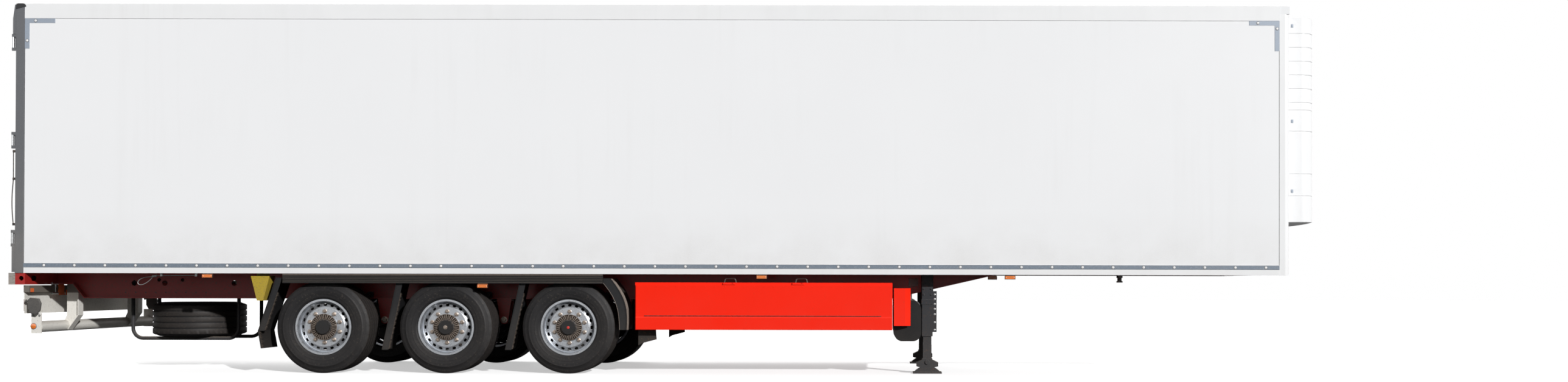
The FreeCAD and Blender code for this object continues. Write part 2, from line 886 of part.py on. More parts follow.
def cooling_unit():
    """Bowed housing with grooves round it, and a slatted grille let into its upper front."""
    shell = slab("UnitShell", "XY", unit_plan("0"), "unit_bottom", "unit_top - unit_bottom")
    profile = slab("UnitProfile", "XZ", [
        ("nose", "unit_bottom"),
        ("nose + unit_depth", "unit_bottom"),
        ("nose + unit_depth", "unit_top - unit_brow_radius", "unit_brow_radius", 1),
        ("nose + unit_depth - unit_brow_radius", "unit_top"),
        ("nose", "unit_top"),
    ], "-unit_half_width", "2 * unit_half_width")
    rounded_shell = doc.addObject("Part::Common", "UnitRounded")
    rounded_shell.Base = shell
    rounded_shell.Tool = profile
    tools = [box("GrilleWell", ("nose + grille_back", "-grille_half", "grille_low"),
                 ("unit_depth", "2 * grille_half", "grille_high - grille_low"))]
    places = [f"groove_top - {index} * groove_pitch" for index in range(int(number("groove_count")))]
    places += ["belt_high", "belt_middle", "belt_low", "belt_foot"]
    for index, place in enumerate(places):
        low = f"{place} - groove_width / 2"
        around = box(f"GrooveBlock{index}", ("nose", "-unit_half_width", low),
                     ("unit_depth", "2 * unit_half_width", "groove_width"))
        core = slab(f"GrooveCore{index}", "XY", unit_plan("groove_depth"), low, "groove_width")
        tools.append(cut(f"Groove{index}", around, core))
    housing = cut("UnitHousing", rounded_shell, group("UnitCuts", tools))
    node("cooling_unit_housing", housing)
    reach = "sqrt((unit_bow_radius - grille_inset)^2 - grille_half^2)"
    inner = "sqrt((unit_bow_radius - grille_inset - slat_depth)^2 - grille_half^2)"
    slats = []
    for index in range(int(number("slat_count"))):
        slats.append(slab(f"Slat{index}", "XY", [
            (f"unit_bow_x + {reach}", "-grille_half", "unit_bow_radius - grille_inset", 1),
            (f"unit_bow_x + {reach}", "grille_half"),
            (f"unit_bow_x + {inner}", "grille_half", "unit_bow_radius - grille_inset - slat_depth", -1),
            (f"unit_bow_x + {inner}", "-grille_half"),
        ], f"grille_low + {index} * slat_pitch", "slat_thick"))
    third = "sqrt((unit_bow_radius - grille_inset - slat_depth)^2 - (grille_half / 3)^2)"
    for name, share in (("Left", "1 / 3"), ("Right", "-1 / 3")):
        slats.append(box(f"SlatBar{name}", (f"unit_bow_x + {third} - slat_bar",
                                            f"grille_half * {share} - slat_bar / 2", "grille_low"),
                         ("slat_bar + slat_depth / 2", "slat_bar", "grille_high - grille_low")))
    node("cooling_unit_grilles", joined("Grille", slats))


def chassis():
    """Two I-section rails with a shallow neck, cross members and the coupling plate."""
    low = [
        ("tail + tail_beam_depth", "tail_bottom"),
        ("tail + tail_length", "tail_bottom"),
        ("tail + tail_length + tail_slope", "rail_bottom"),
        ("neck_back_x", "rail_bottom"),
        ("neck_x", "neck_bottom"),
        ("neck_end_x", "neck_bottom"),
    ]
    web = slab("RailWeb", "XZ", low + [
        ("neck_end_x", "floor_under"),
        ("tail + tail_beam_depth", "floor_under"),
    ], "web_in", "rail_web")
    holes = []
    for place, rise, size in (("hole_first", "hole_rise", "hole_radius"),
                              ("hole_second", "hole_high_rise", "hole_small_radius"),
                              ("hole_third", "hole_rise", "hole_radius"),
                              ("hole_fourth", "hole_high_rise", "hole_small_radius"),
                              ("hole_fifth", "hole_rise", "hole_radius")):
        holes.append(rod(place.title().replace("_", ""), (f"tail + {place}", "web_in", f"rail_bottom + {rise}"),
                         size, "rail_web", "Y"))
    web = cut("RailWebPierced", web, group("RailHoles", holes))
    lift = [(across, f"{up} + flange_thick") for across, up in reversed(low)]
    foot = slab("RailFoot", "XZ", low + lift, "rail_in", "rail_flange")
    head = box("RailHead", ("tail + tail_beam_depth", "rail_in", "floor_under - flange_thick"),
               ("neck_end_x - tail - tail_beam_depth", "rail_flange", "flange_thick"))
    node("chassis_rails", both_sides("Rails", joined("Rail", [web, foot, head])))
    members = []
    for index in range(int(number("member_count"))):
        place = f"tail + member_first + {index} * member_pitch - member_width / 2"
        members.append(slab(f"Member{index}", "YZ", [
            ("-web_in", "member_under"),
            ("web_in", "member_under"),
            ("web_in", "floor_under - flange_thick"),
            ("rail_in", "floor_under - flange_thick"),
            ("rail_in", "floor_under"),
            ("-rail_in", "floor_under"),
            ("-rail_in", "floor_under - flange_thick"),
            ("-web_in", "floor_under - flange_thick"),
        ], place, "member_width"))
    node("cross_members", group("Members", members))
    outriggers = []
    for index in range(int(number("member_count"))):
        place = f"tail + member_first + {index} * member_pitch"
        outriggers.append(slab(f"Outrigger{index}", "YZ", [
            ("web_out", "floor_under - flange_thick"),
            ("web_out", "member_under"),
            ("panel_out - edge_shelf", "floor_under - member_height / 2"),
            ("panel_out - edge_shelf", "floor_under"),
            ("rail_out", "floor_under"),
            ("rail_out", "floor_under - flange_thick"),
        ], f"{place} - outrigger_width / 2", "outrigger_width"))
    node("outriggers", both_sides("Outriggers", group("OutriggersLeft", outriggers)))
    plate = box("CouplingSheet", ("nose - coupling_to_nose - coupling_length",
                                  "-coupling_half_width", "plate_under"),
                ("coupling_length", "2 * coupling_half_width", "coupling_thick"))
    hole = rod("KingpinHole", ("kingpin_x", "0", "plate_under"), "kingpin_collar_radius + kingpin_fit",
               "coupling_thick")
    node("coupling_plate", cut("CouplingPlate", plate, hole))
    collar = "coupling_thick + kingpin_collar_height"
    neck = f"{collar} + kingpin_neck_height"
    foot = f"{neck} + kingpin_flange_height"
    pin = turned("Kingpin", [
        ("-kingpin_head_height", "0"),
        ("-kingpin_head_height", "kingpin_head_radius"),
        ("0", "kingpin_head_radius"),
        ("0", "kingpin_collar_radius"),
        (collar, "kingpin_collar_radius"),
        (collar, "kingpin_neck_radius"),
        (neck, "kingpin_neck_radius"),
        (neck, "kingpin_flange_radius"),
        (foot, "kingpin_flange_radius"),
        (foot, "0"),
    ])
    put(pin, ("kingpin_x", "0", "neck_bottom"), Rotation(Vector(1, 0, 0), -90))
    node("kingpin", pin)


def tail_gear():
    """Rear beam and buffers, light bar, lamp plate, lamps and underrun bumper."""
    tall = "body_bottom - tail_beam_bottom"
    beam = box("TailBeamBlock", ("tail", "-panel_out", "tail_beam_bottom"),
               ("tail_beam_depth", "2 * panel_out", tall))
    cuts = [box("TailBeamSpace", ("tail + tail_beam_wall", "tail_beam_wall - panel_out",
                                  "tail_beam_bottom + tail_beam_wall"),
                ("tail_beam_depth - 2 * tail_beam_wall", "2 * panel_out - 2 * tail_beam_wall",
                 f"{tall} - 2 * tail_beam_wall"))]
    for index, place in enumerate(("tail_slot_out", "tail_slot_in", "-tail_slot_in", "-tail_slot_out")):
        low = "tail_beam_bottom + tail_slot_rise - tail_slot_half"
        high = "tail_beam_bottom + tail_slot_rise + tail_slot_half"
        cuts.append(slab(f"TailSlot{index}", "YZ", [
            (f"{place} - tail_slot_flat", low),
            (f"{place} + tail_slot_flat", low, "half", 1),
            (f"{place} + tail_slot_flat", high),
            (f"{place} - tail_slot_flat", high, "half", 1),
        ], "tail + tail_beam_depth - tail_beam_wall - cut_over", "tail_beam_wall + 2 * cut_over"))
    for name, place in (("Left", "panel_out - tail_beam_wall"), ("Right", "-panel_out")):
        cuts.append(rod(f"TailEye{name}", ("tail + tail_eye_back", place,
                                           "tail_beam_bottom + tail_slot_rise"),
                        "tail_eye_radius", "tail_beam_wall", "Y"))
    buffers = []
    for name, place in (("Left", "panel_out - buffer_width"), ("Right", "-panel_out")):
        buffers.append(box("Buffer" + name, ("tail - buffer_reach", place, "tail_beam_bottom"),
                           ("buffer_reach", "buffer_width", tall)))
    node("tail_beam", cut("TailBeam", beam, joined("TailBeamCuts", cuts)))
    node("buffers", group("Buffers", buffers))
    bar = box("LightBar", ("tail + light_bar_back", "-light_bar_half", "light_bar_bottom"),
              ("light_bar_depth", "2 * light_bar_half", "light_bar_height"))
    stays = [box(f"LightStay{name}", ("tail + light_bar_back", place, "light_bar_bottom"),
                 ("flange_thick", "rail_flange", "tail_beam_bottom - light_bar_bottom"))
             for name, place in (("Left", "rail_in"), ("Right", "-rail_out"))]
    plate = box("LampPlate", ("tail + light_bar_back", "-lamp_plate_half", "lamp_plate_bottom"),
                ("lamp_plate_thick", "2 * lamp_plate_half", "light_bar_bottom - lamp_plate_bottom"))
    node("lamp_carrier", joined("LampCarrier", [bar, plate] + stays))
    lamp = box("Lamp", ("tail + light_bar_back - lamp_depth", "lamp_plate_half - lamp_inset - lamp_length",
                        "lamp_plate_bottom + lamp_rise"),
               ("lamp_depth", "lamp_length", "lamp_height"))
    node("tail_lamps", both_sides("Lamps", lamp))
    cross = rod("BumperCross", ("bumper_x", "-bumper_half", "bumper_height"), "bumper_radius",
                "2 * bumper_half", "Y")
    end = box("BumperEnd", ("bumper_x - bumper_plate_length / 2", "bumper_half", "bumper_plate_bottom"),
              ("bumper_plate_length", "bumper_plate_thick", "bumper_plate_top - bumper_plate_bottom"))
    web = slab("BumperArmWeb", "XZ", [
        ("bumper_x", "arm_low"),
        ("bumper_x + bumper_radius", "arm_low"),
        ("tail + arm_front", "arm_knee"),
        ("tail + arm_front", "arm_top"),
        ("tail + tail_length", "tail_bottom"),
        ("tail + arm_back", "tail_bottom"),
        ("tail + arm_back", "arm_knee"),
        ("bumper_x", "bumper_height + bumper_radius"),
    ], "rail_centre - arm_thick / 2", "arm_thick")
    edge = slab("BumperArmEdge", "XZ", [
        ("bumper_x + bumper_radius", "arm_low"),
        ("tail + arm_front", "arm_knee"),
        ("tail + arm_front", "arm_top"),
        ("tail + arm_front - arm_thick", "arm_top"),
        ("tail + arm_front - arm_thick", "arm_knee + arm_thick / 2"),
        ("bumper_x + bumper_radius", "arm_low + arm_thick * 3 / 2"),
    ], "rail_centre - arm_flange / 2", "arm_flange")
    arm = joined("BumperArm", [web, edge])
    node("underrun_bumper", joined("Bumper", [
        cross, end, mirrored("BumperEndMirror", end), arm, mirrored("BumperArmMirror", arm)]))


def landing_gear():
    """Two legs with their feet on the ground, their brackets and the bar between them."""
    half = "leg_outer / 2"
    parts = [
        box("LegOuter", (f"leg_x - {half}", f"leg_centre - {half}", "leg_outer_bottom"),
            ("leg_outer", "leg_outer", "member_under - leg_outer_bottom")),
        box("LegInner", ("leg_x - leg_inner / 2", "leg_centre - leg_inner / 2", "foot_thick"),
            ("leg_inner", "leg_inner", "leg_outer_bottom - foot_thick")),
        box("Foot", ("leg_x - foot_length / 2", "leg_centre - foot_width / 2", "0"),
            ("foot_length", "foot_width", "foot_thick")),
        slab("FootRocker", "XZ", [
            ("leg_x - foot_length * 0.45", "foot_thick"),
            ("leg_x + foot_length * 0.45", "foot_thick", "foot_round", 1),
        ], "leg_centre - foot_rocker", "2 * foot_rocker"),
        slab("FootWings", "XZ", [
            ("leg_x - foot_wing", "foot_wing_low"),
            ("leg_x - foot_block", "foot_rocker"),
            ("leg_x + foot_block", "foot_rocker"),
            ("leg_x + foot_wing", "foot_wing_low"),
            ("leg_x + foot_wing", "foot_wing_high"),
            ("leg_x + foot_block", "foot_wing_top"),
            ("leg_x + foot_block", "foot_block_top"),
            ("leg_x - foot_block", "foot_block_top"),
            ("leg_x - foot_block", "foot_wing_top"),
            ("leg_x - foot_wing", "foot_wing_high"),
        ], "leg_centre - foot_rocker", "2 * foot_rocker"),
        rod("FootPin", ("leg_x", "leg_centre - foot_rocker - foot_pin_reach", "foot_pin_height"),
            "foot_pin_radius", "2 * foot_rocker + 2 * foot_pin_reach", "Y"),
        box("LegCollar", (f"leg_x - {half} - collar_over", f"leg_centre - {half} - collar_over",
                          "collar_low"),
            ("leg_outer + 2 * collar_over", "leg_outer + 2 * collar_over", "collar_tall")),
        box("LegStrip", (f"leg_x + {half}", f"leg_centre + {half} - strip_thick", "strip_bottom"),
            ("strip_width", "strip_thick", "strip_top - strip_bottom")),
        box("LegBracket", ("leg_x - bracket_half", f"leg_centre - {half} - bracket_thick",
                           "bracket_bottom"),
            ("2 * bracket_half", "bracket_thick", "member_under - bracket_bottom")),
        slab("LegStay", "YZ", [
            ("web_out", "member_under"),
            ("web_out", "member_under - member_height"),
            (f"leg_centre - {half} - bracket_thick", "bracket_bottom"),
            (f"leg_centre - {half} - bracket_thick", "member_under"),
        ], "leg_x - bracket_thick / 2", "bracket_thick"),
    ]
    leg = joined("Leg", parts)
    brace = rod("LegBrace", ("leg_x", f"{half} - leg_centre", "brace_height"), "brace_radius",
                "2 * leg_centre - leg_outer", "Y")
    node("landing_gear", joined("LandingGear", [leg, mirrored("LegMirror", leg), brace]))


def pallet_box():
    """Sheet box across the chassis with a hinged flap at each side."""
    def section(name, grow, start, depth):
        out = f"box_half - {grow}"
        step = f"box_step + {grow}"
        low = f"box_bottom + {grow}"
        high = f"box_top - {grow}"
        under = f"rail_bottom - {grow}"
        return slab(name, "YZ", [
            (f"-({out})", low), (out, low), (out, high), (step, high), (step, under),
            (f"-({step})", under), (f"-({step})", high), (f"-({out})", high),
        ], start, depth)
    shell = section("BoxShell", "0", "box_x", "box_end_x - box_x")
    space = section("BoxSpace", "box_sheet", "box_x + box_sheet",
                    "box_end_x - box_x - 2 * box_sheet")
    mouth = box("BoxMouth", ("mouth_back", "-box_half", "box_mouth_bottom"),
                ("mouth_front - mouth_back", "2 * box_half", "box_mouth_top - box_mouth_bottom"))
    hollow = cut("BoxHollow", shell, space, mouth)
    middle = "(mouth_back + mouth_front) / 2"
    lugs = []
    knuckles = []
    bores = []
    for name, sign in (("Back", "-"), ("Front", "+")):
        start = f"{middle} {sign} (mouth_front - mouth_back) * flap_knuckle_share - flap_knuckle / 2"
        for end, place in (("Low", f"{start} - flap_lug"), ("High", f"{start} + flap_knuckle")):
            lugs.append(box(f"FlapLug{name}{end}", (place, "box_half", "flap_top + lug_gap"),
                            ("flap_lug", "flap_out - box_half", "box_top - flap_top - lug_gap")))
            lugs.append(rod(f"FlapEye{name}{end}", (place, "flap_out", "flap_axis_z"), "flap_hinge",
                            "flap_lug", "X"))
        lugs.append(rod(f"FlapPin{name}", (f"{start} - flap_lug", "flap_out", "flap_axis_z"),
                        "flap_pin", "flap_knuckle + 2 * flap_lug", "X"))
        knuckles.append(rod(f"FlapBarrel{name}", (f"{start} + lug_gap", "flap_out", "flap_axis_z"),
                            "flap_hinge", "flap_knuckle - 2 * lug_gap", "X"))
        knuckles.append(box(f"FlapEar{name}", (f"{start} + lug_gap", "flap_in", "flap_top"),
                            ("flap_knuckle - 2 * lug_gap", "flap_thick", "flap_hinge")))
        bores.append(rod(f"FlapBore{name}", (f"{start} + lug_gap", "flap_out", "flap_axis_z"),
                         "flap_pin + pin_clearance", "flap_knuckle - 2 * lug_gap", "X"))
    hinges = joined("FlapLugs", lugs)
    node("pallet_box", joined("PalletBox", [hollow, hinges, mirrored("FlapLugsMirror", hinges)]))
    panel = slab("FlapPanel", "YZ", [
        ("flap_in", "flap_bottom"),
        ("flap_out + swage_proud", "flap_bottom"),
        ("flap_out + swage_proud", "swage_height"),
        ("flap_out", "swage_height + swage_rise"),
        ("flap_out", "flap_top"),
        ("flap_in", "flap_top"),
    ], "mouth_back - flap_end_over", "mouth_front - mouth_back + 2 * flap_end_over")
    flap = cut("Flap", joined("FlapBody", [panel] + knuckles), *bores)
    node("pallet_flap_left", flap)
    node("pallet_flap_right", mirrored("FlapMirror", flap))


def fuel_tank():
    """Tank across the chassis with its straps, and a folded guard at each side."""
    outline = rounded("tank_x", "tank_bottom", "tank_end_x",
                      "rail_bottom - tank_strap_thick", "tank_radius")
    node("fuel_tank", slab("Tank", "XZ", outline, "-tank_half", "2 * tank_half"))
    strap = slab("TankStrap", "XZ", rounded(
        "tank_x - tank_strap_thick", "tank_bottom - tank_strap_thick",
        "tank_end_x + tank_strap_thick", "rail_bottom", "tank_radius + tank_strap_thick"),
        "rail_centre - tank_strap_width / 2", "tank_strap_width")
    bore = slab("TankStrapBore", "XZ", outline, "rail_centre - tank_strap_width / 2",
                "tank_strap_width")
    rise = "(neck_bottom - rail_bottom) / neck_slope_length"
    hanger = slab("TankHanger", "XZ", [
        ("tank_x", "rail_bottom - tank_strap_thick"),
        ("tank_end_x - tank_radius", "rail_bottom - tank_strap_thick"),
        ("tank_end_x - tank_radius",
         f"rail_bottom + (tank_end_x - tank_radius - neck_back_x) * {rise}"),
        ("tank_x", f"rail_bottom + (tank_x - neck_back_x) * {rise}"),
    ], "rail_centre - tank_strap_width / 2", "tank_strap_width")
    node("tank_straps", both_sides("TankStraps", cut("TankStrapRing", joined("TankStrapHung", [strap, hanger]), bore)))
    guard = slab("Guard", "XY", [
        ("guard_x", "guard_y"),
        ("guard_x + guard_length", "guard_y"),
        ("guard_x + guard_length + guard_fold_length", "guard_y - guard_fold"),
        ("guard_x + guard_length + guard_fold_length + guard_sheet", "guard_y - guard_fold"),
        ("guard_x + guard_length + guard_sheet / 2", "guard_place"),
        ("guard_x", "guard_place"),
    ], "guard_bottom", "guard_top - guard_bottom")
    stay = box("GuardStay", ("guard_x", "tank_half", "(guard_bottom + guard_top) / 2"),
               ("guard_length", "guard_y - tank_half", "guard_stay"))
    node("tank_guards", both_sides("Guards", joined("GuardLeft", [guard, stay])))


def tyre(name):
    """Road tyre, hollow towards the rim, standing on its own Y axis."""
    crown = "tyre_radius - tyre_wall"
    inner = "tyre_half - tyre_wall"
    seat = "rim_seat"
    return turned(name, [
        ("-bead_half", seat),
        ("tyre_wall - bead_half", seat),
        (f"-({inner})", "tyre_radius - tyre_flank"),
        (f"tyre_wall - tread_half", crown),
        (f"tread_half - tyre_wall", crown),
        (inner, "tyre_radius - tyre_flank"),
        ("bead_half - tyre_wall", seat),
        ("bead_half", seat),
        ("bead_half", "rim_seat + rim_flange"),
        ("tyre_half", "tyre_radius - tyre_flank"),
        ("tread_half + tyre_shoulder / 2", "tyre_radius - tyre_shoulder"),
        ("tread_half", "tyre_radius"),
        ("-tread_half", "tyre_radius"),
        ("-tread_half - tyre_shoulder / 2", "tyre_radius - tyre_shoulder"),
        ("-tyre_half", "tyre_radius - tyre_flank"),
        ("-bead_half", "rim_seat + rim_flange"),
    ])


def rim_outline(with_hub):
    """Half section of the rim, its disc and hub, from the inner flange outwards."""
    seat = "rim_seat"
    drop = "rim_seat - rim_drop"
    face = "disc_offset + disc_thick"
    outer = [
        ("-bead_outer", "rim_seat - rim_wall"),
        ("-bead_outer", "rim_seat + rim_flange"),
        ("-bead_half", "rim_seat + rim_flange"),
        ("-bead_half", seat),
        ("-rim_drop_half - rim_well_slope", seat),
        ("-rim_drop_half", drop),
        ("rim_drop_half - rim_well_slope", drop),
        ("rim_drop_half", seat),
        ("bead_half", seat),
        ("bead_half", "rim_seat + rim_flange"),
        ("bead_outer", "rim_seat + rim_flange"),
        ("bead_outer", "rim_seat - rim_wall"),
        (f"{face} - disc_dish", "rim_seat - rim_wall - rim_drop / 2"),
        (face, "disc_flat"),
    ]
    disc_in = [
        ("disc_offset", "disc_flat"),
        ("disc_offset - disc_dish", "rim_seat - rim_wall - rim_drop / 2"),
        ("rim_drop_half", "rim_seat - rim_wall"),
        ("rim_drop_half - rim_well_slope", f"{drop} - rim_wall"),
        ("-rim_drop_half", f"{drop} - rim_wall"),
        ("-rim_drop_half - rim_well_slope", "rim_seat - rim_wall"),
    ]
    if not with_hub:
        return outer + [(face, "hub_radius"), ("disc_offset", "hub_radius")] + disc_in
    bore = "spindle_radius + bearing_gap"
    hub = [
        (face, "hub_radius"),
        (f"{face} + hub_reach", "hub_radius"),
        (f"{face} + hub_reach", "hub_cap_radius"),
        (f"{face} + hub_reach + hub_cap_reach", "hub_cap_radius"),
        (f"{face} + hub_reach + hub_cap_reach", "0"),
        (f"{face} + spindle_tip + bearing_gap", "0"),
        (f"{face} + spindle_tip + bearing_gap", bore),
        ("disc_offset - hub_back", bore),
        ("disc_offset - hub_back", "hub_back_radius"),
        ("disc_offset", "hub_radius"),
    ]
    return outer + hub + disc_in


def ring_of_cuts(body, name, corners, start, depth, count):
    """An outline cut into a turned body from a place on its axis, repeated round it."""
    outline = body_sketch(body, name + "Outline", "XZ", corners)
    outline.setExpression("AttachmentOffset.Base.z", formula(f"-({start})"))
    pocket = body.newObject("PartDesign::Pocket", name)
    pocket.Profile = outline
    pocket.Reversed = True
    tie(pocket, Length=depth)
    ring = body.newObject("PartDesign::PolarPattern", name + "Ring")
    ring.Originals = [pocket]
    ring.Axis = (next(item for item in body.Origin.OriginFeatures if item.Role == "Y_Axis"), [""])
    ring.Angle = 360
    tie(ring, Occurrences=count)
    outline.Visibility = False
    body.Tip = ring


def rim(name, with_hub):
    """A rim with its vents, and the slots of its hub where it has one."""
    body = turned(name, rim_outline(with_hub))
    face = "disc_offset + disc_thick"
    ring_of_cuts(body, name + "Vent", [
        ("vent_circle + vent_half", "-vent_flat"),
        ("vent_circle + vent_half", "vent_flat", "half", 1),
        ("vent_circle - vent_half", "vent_flat"),
        ("vent_circle - vent_half", "-vent_flat", "half", 1),
    ], f"{face} + cut_over", "disc_thick + disc_dish + 2 * cut_over", "vent_count")
    if with_hub:
        ring_of_cuts(body, name + "Slot", [
            ("slot_inner", "-slot_half"),
            ("slot_outer", "-slot_half"),
            ("slot_outer", "slot_half"),
            ("slot_inner", "slot_half"),
        ], f"{face} + hub_reach", "slot_depth", "slot_count")
    return body


def wheels():
    """Six wheels on three axles, each a tyre on a rim with its hub."""
    for row, row_name in enumerate(("rear", "middle", "front")):
        for side, sign, turn in (("left", "", 0), ("right", "-", 180)):
            at = (f"tail + axle_first + {row} * axle_pitch", f"{sign}track_half", "tyre_radius")
            facing = Rotation(Vector(0, 0, 1), turn)
            title = row_name.title() + side.title()
            node(f"tyre_{row_name}_{side}", put(tyre("Tyre" + title), at, facing))
            node(f"rim_{row_name}_{side}", put(rim("Rim" + title, True), at, facing))


def axles():
    """Axle tubes with their spindles, brake shields and calipers."""
    beams = []
    for row in range(3):
        place = f"tail + axle_first + {row} * axle_pitch"
        parts = [rod(f"AxleTube{row}", (place, "-axle_half", "tyre_radius"), "axle_radius",
                     "2 * axle_half", "Y"),
                 rod(f"Spindle{row}", (place, "-disc_back - disc_thick - spindle_tip", "tyre_radius"),
                     "spindle_radius", "2 * (disc_back + disc_thick + spindle_tip)", "Y")]
        for side, start in (("Left", "axle_half - brake_thick"), ("Right", "-axle_half")):
            parts.append(rod(f"Brake{row}{side}", (place, start, "tyre_radius"), "brake_radius",
                             "brake_thick", "Y"))
        for side, start in (("Left", "axle_half - caliper_width"), ("Right", "-axle_half")):
            parts.append(box(f"Caliper{row}{side}", (f"{place} - caliper_length / 2", start,
                                                     "tyre_radius + axle_radius"),
                             ("caliper_length", "caliper_width", "caliper_reach - axle_radius - brake_gap")))
        for side, start in (("Left", "axle_half - caliper_width - chamber_length"),
                            ("Right", "caliper_width - axle_half")):
            parts.append(rod(f"Chamber{row}{side}",
                             (place, start, "tyre_radius + (axle_radius + caliper_reach - brake_gap) / 2"),
                             "chamber_radius", "chamber_length", "Y"))
        beams.append(joined(f"Axle{row}", parts))
    node("axles", group("Axles", beams))


def suspension():
    """Hangers under the rails, trailing arms clamped to the axles and air springs."""
    hangers, arms, springs = [], [], []
    for row in range(3):
        place = f"tail + axle_first + {row} * axle_pitch"
        pivot = f"{place} + hanger_forward"
        cheeks = []
        for side, start in (("In", "-hanger_width / 2"), ("Out", "hanger_width / 2 - hanger_sheet")):
            cheeks.append(slab(f"Hanger{row}{side}", "XZ", [
                (f"{pivot} - pivot_radius", "pivot_height", "half", 1),
                (f"{pivot} + pivot_radius", "pivot_height"),
                (f"{pivot} + hanger_length / 2", "rail_bottom"),
                (f"{pivot} - hanger_length / 2", "rail_bottom"),
            ], f"rail_centre + {start}", "hanger_sheet"))
        cheeks.append(box(f"HangerBack{row}", (f"{pivot} - hanger_length / 2",
                                               "rail_centre - hanger_width / 2",
                                               "rail_bottom - 2 * hanger_sheet"),
                          ("hanger_length", "hanger_width", "2 * hanger_sheet")))
        cheeks.append(rod(f"HangerPin{row}", (pivot, "rail_centre - hanger_width / 2", "pivot_height"),
                          "pivot_radius / 3", "hanger_width", "Y"))
        hangers.append(joined(f"Hanger{row}", cheeks))
        arm = slab(f"ArmBlank{row}", "XZ", [
            (f"{place} - arm_tail", "spring_base - arm_depth / 2"),
            (f"{place} - arm_seat_half", "tyre_radius - axle_radius - arm_depth"),
            (f"{place} + arm_seat_half", "tyre_radius - axle_radius - arm_depth"),
            (f"{pivot} + pivot_radius - hanger_sheet / 2", "pivot_height - arm_depth / 2"),
            (f"{pivot} + pivot_radius - hanger_sheet / 2", "pivot_height + arm_depth / 2"),
            (f"{place} + arm_seat_half", "tyre_radius"),
            (f"{place} - arm_seat_half", "tyre_radius"),
            (f"{place} - arm_tail", "spring_base"),
        ], "rail_centre - arm_width / 2", "arm_width")
        arms.append(cut(f"Arm{row}", arm,
                        rod(f"ArmSeat{row}", (place, "rail_centre - arm_width / 2", "tyre_radius"),
                            "axle_radius", "arm_width", "Y"),
                        rod(f"ArmBush{row}", (pivot, "rail_centre - arm_width / 2", "pivot_height"),
                            "pivot_radius / 3", "arm_width", "Y")))
        waist = "spring_radius - spring_waist"
        spring = turned(f"Spring{row}", [
            ("0", "0"),
            ("0", "spring_foot_radius"),
            ("spring_foot", "spring_foot_radius"),
            ("spring_foot", waist, "lobe_round", -1),
            ("spring_foot + lobe_height", waist, "lobe_round", -1),
            ("spring_foot + 2 * lobe_height", waist),
            ("rail_bottom - spring_base", waist),
            ("rail_bottom - spring_base", "0"),
        ])
        put(spring, (f"{place} - spring_back", "rail_centre", "spring_base"),
            Rotation(Vector(1, 0, 0), 90))
        springs.append(spring)
    node("suspension_hangers", both_sides("Hangers", group("HangersLeft", hangers)))
    node("trailing_arms", both_sides("Arms", group("ArmsLeft", arms)))
    node("air_springs", both_sides("Springs", group("SpringsLeft", springs)))


def mudguards():
    """Long covers above the wheels with their skirts, and the flaps between the wheels."""
    top = box("MudCover", ("axle_rear_x - cover_back_reach", "mud_inner", "cover_height"),
              ("axle_front_x - axle_rear_x + cover_front_reach + cover_back_reach",
               "mud_outer - mud_inner", "cover_sheet"))
    out = "mud_outer + skirt_thick"
    face = [("mud_outer", "skirt_bottom"), (out, "skirt_bottom")]
    for index in range(int(number("rib_count"))):
        place = f"skirt_bottom + (body_bottom - skirt_bottom) * ({index} + 1) / (rib_count + 1)"
        face += [
            (out, f"{place} - rib_groove"),
            (f"{out} - rib_groove_depth", f"{place} - rib_groove / 2"),
            (f"{out} - rib_groove_depth", f"{place} + rib_groove / 2"),
            (out, f"{place} + rib_groove"),
        ]
    face += [(out, "body_bottom"), ("mud_outer", "body_bottom")]
    skirt = slab("MudSkirt", "YZ", face, "axle_rear_x - skirt_back_reach",
                 "axle_front_x - axle_rear_x + skirt_front_reach + skirt_back_reach")
    node("mudguards", both_sides("Mudguards", joined("Mudguard", [top, skirt])))
    width = "mud_outer - mud_inner"
    flaps = [slab("FlapRear", "XZ", [
        ("axle_rear_x - cover_back_reach", "cover_height"),
        ("axle_rear_x - rear_flap_bend_back", "rear_flap_bend_height"),
        ("axle_rear_x - rear_flap_foot_back", "rear_flap_foot_height"),
        ("axle_rear_x - rear_flap_foot_back + flap_sheet", "rear_flap_foot_height"),
        ("axle_rear_x - rear_flap_bend_back + flap_sheet", "rear_flap_bend_height"),
        ("axle_rear_x - cover_back_reach + flap_sheet", "cover_height"),
    ], "mud_inner", width)]
    for row in (1, 2):
        axle = f"tail + axle_first + {row} * axle_pitch"
        flaps.append(slab(f"FlapMiddle{row}", "XZ", [
            (f"{axle} - flap_foot_back", "flap_foot_height"),
            (f"{axle} - flap_foot_back + flap_sheet", "flap_foot_height"),
            (f"{axle} - flap_head_back + flap_sheet", "cover_height"),
            (f"{axle} - flap_head_back", "cover_height"),
        ], "mud_inner", width))
    flaps.append(slab("FlapFront", "XZ", [
        ("axle_front_x + front_flap_foot_reach", "front_flap_foot_height"),
        ("axle_front_x + front_flap_foot_reach + flap_sheet", "front_flap_foot_height",
         "front_flap_round", 1),
        ("axle_front_x + cover_front_reach", "cover_height"),
        ("axle_front_x + cover_front_reach - flap_sheet", "cover_height",
         "front_flap_round - flap_sheet", -1),
    ], "mud_inner", width))
    node("mud_flaps", both_sides("MudFlaps", group("MudFlapsLeft", flaps)))


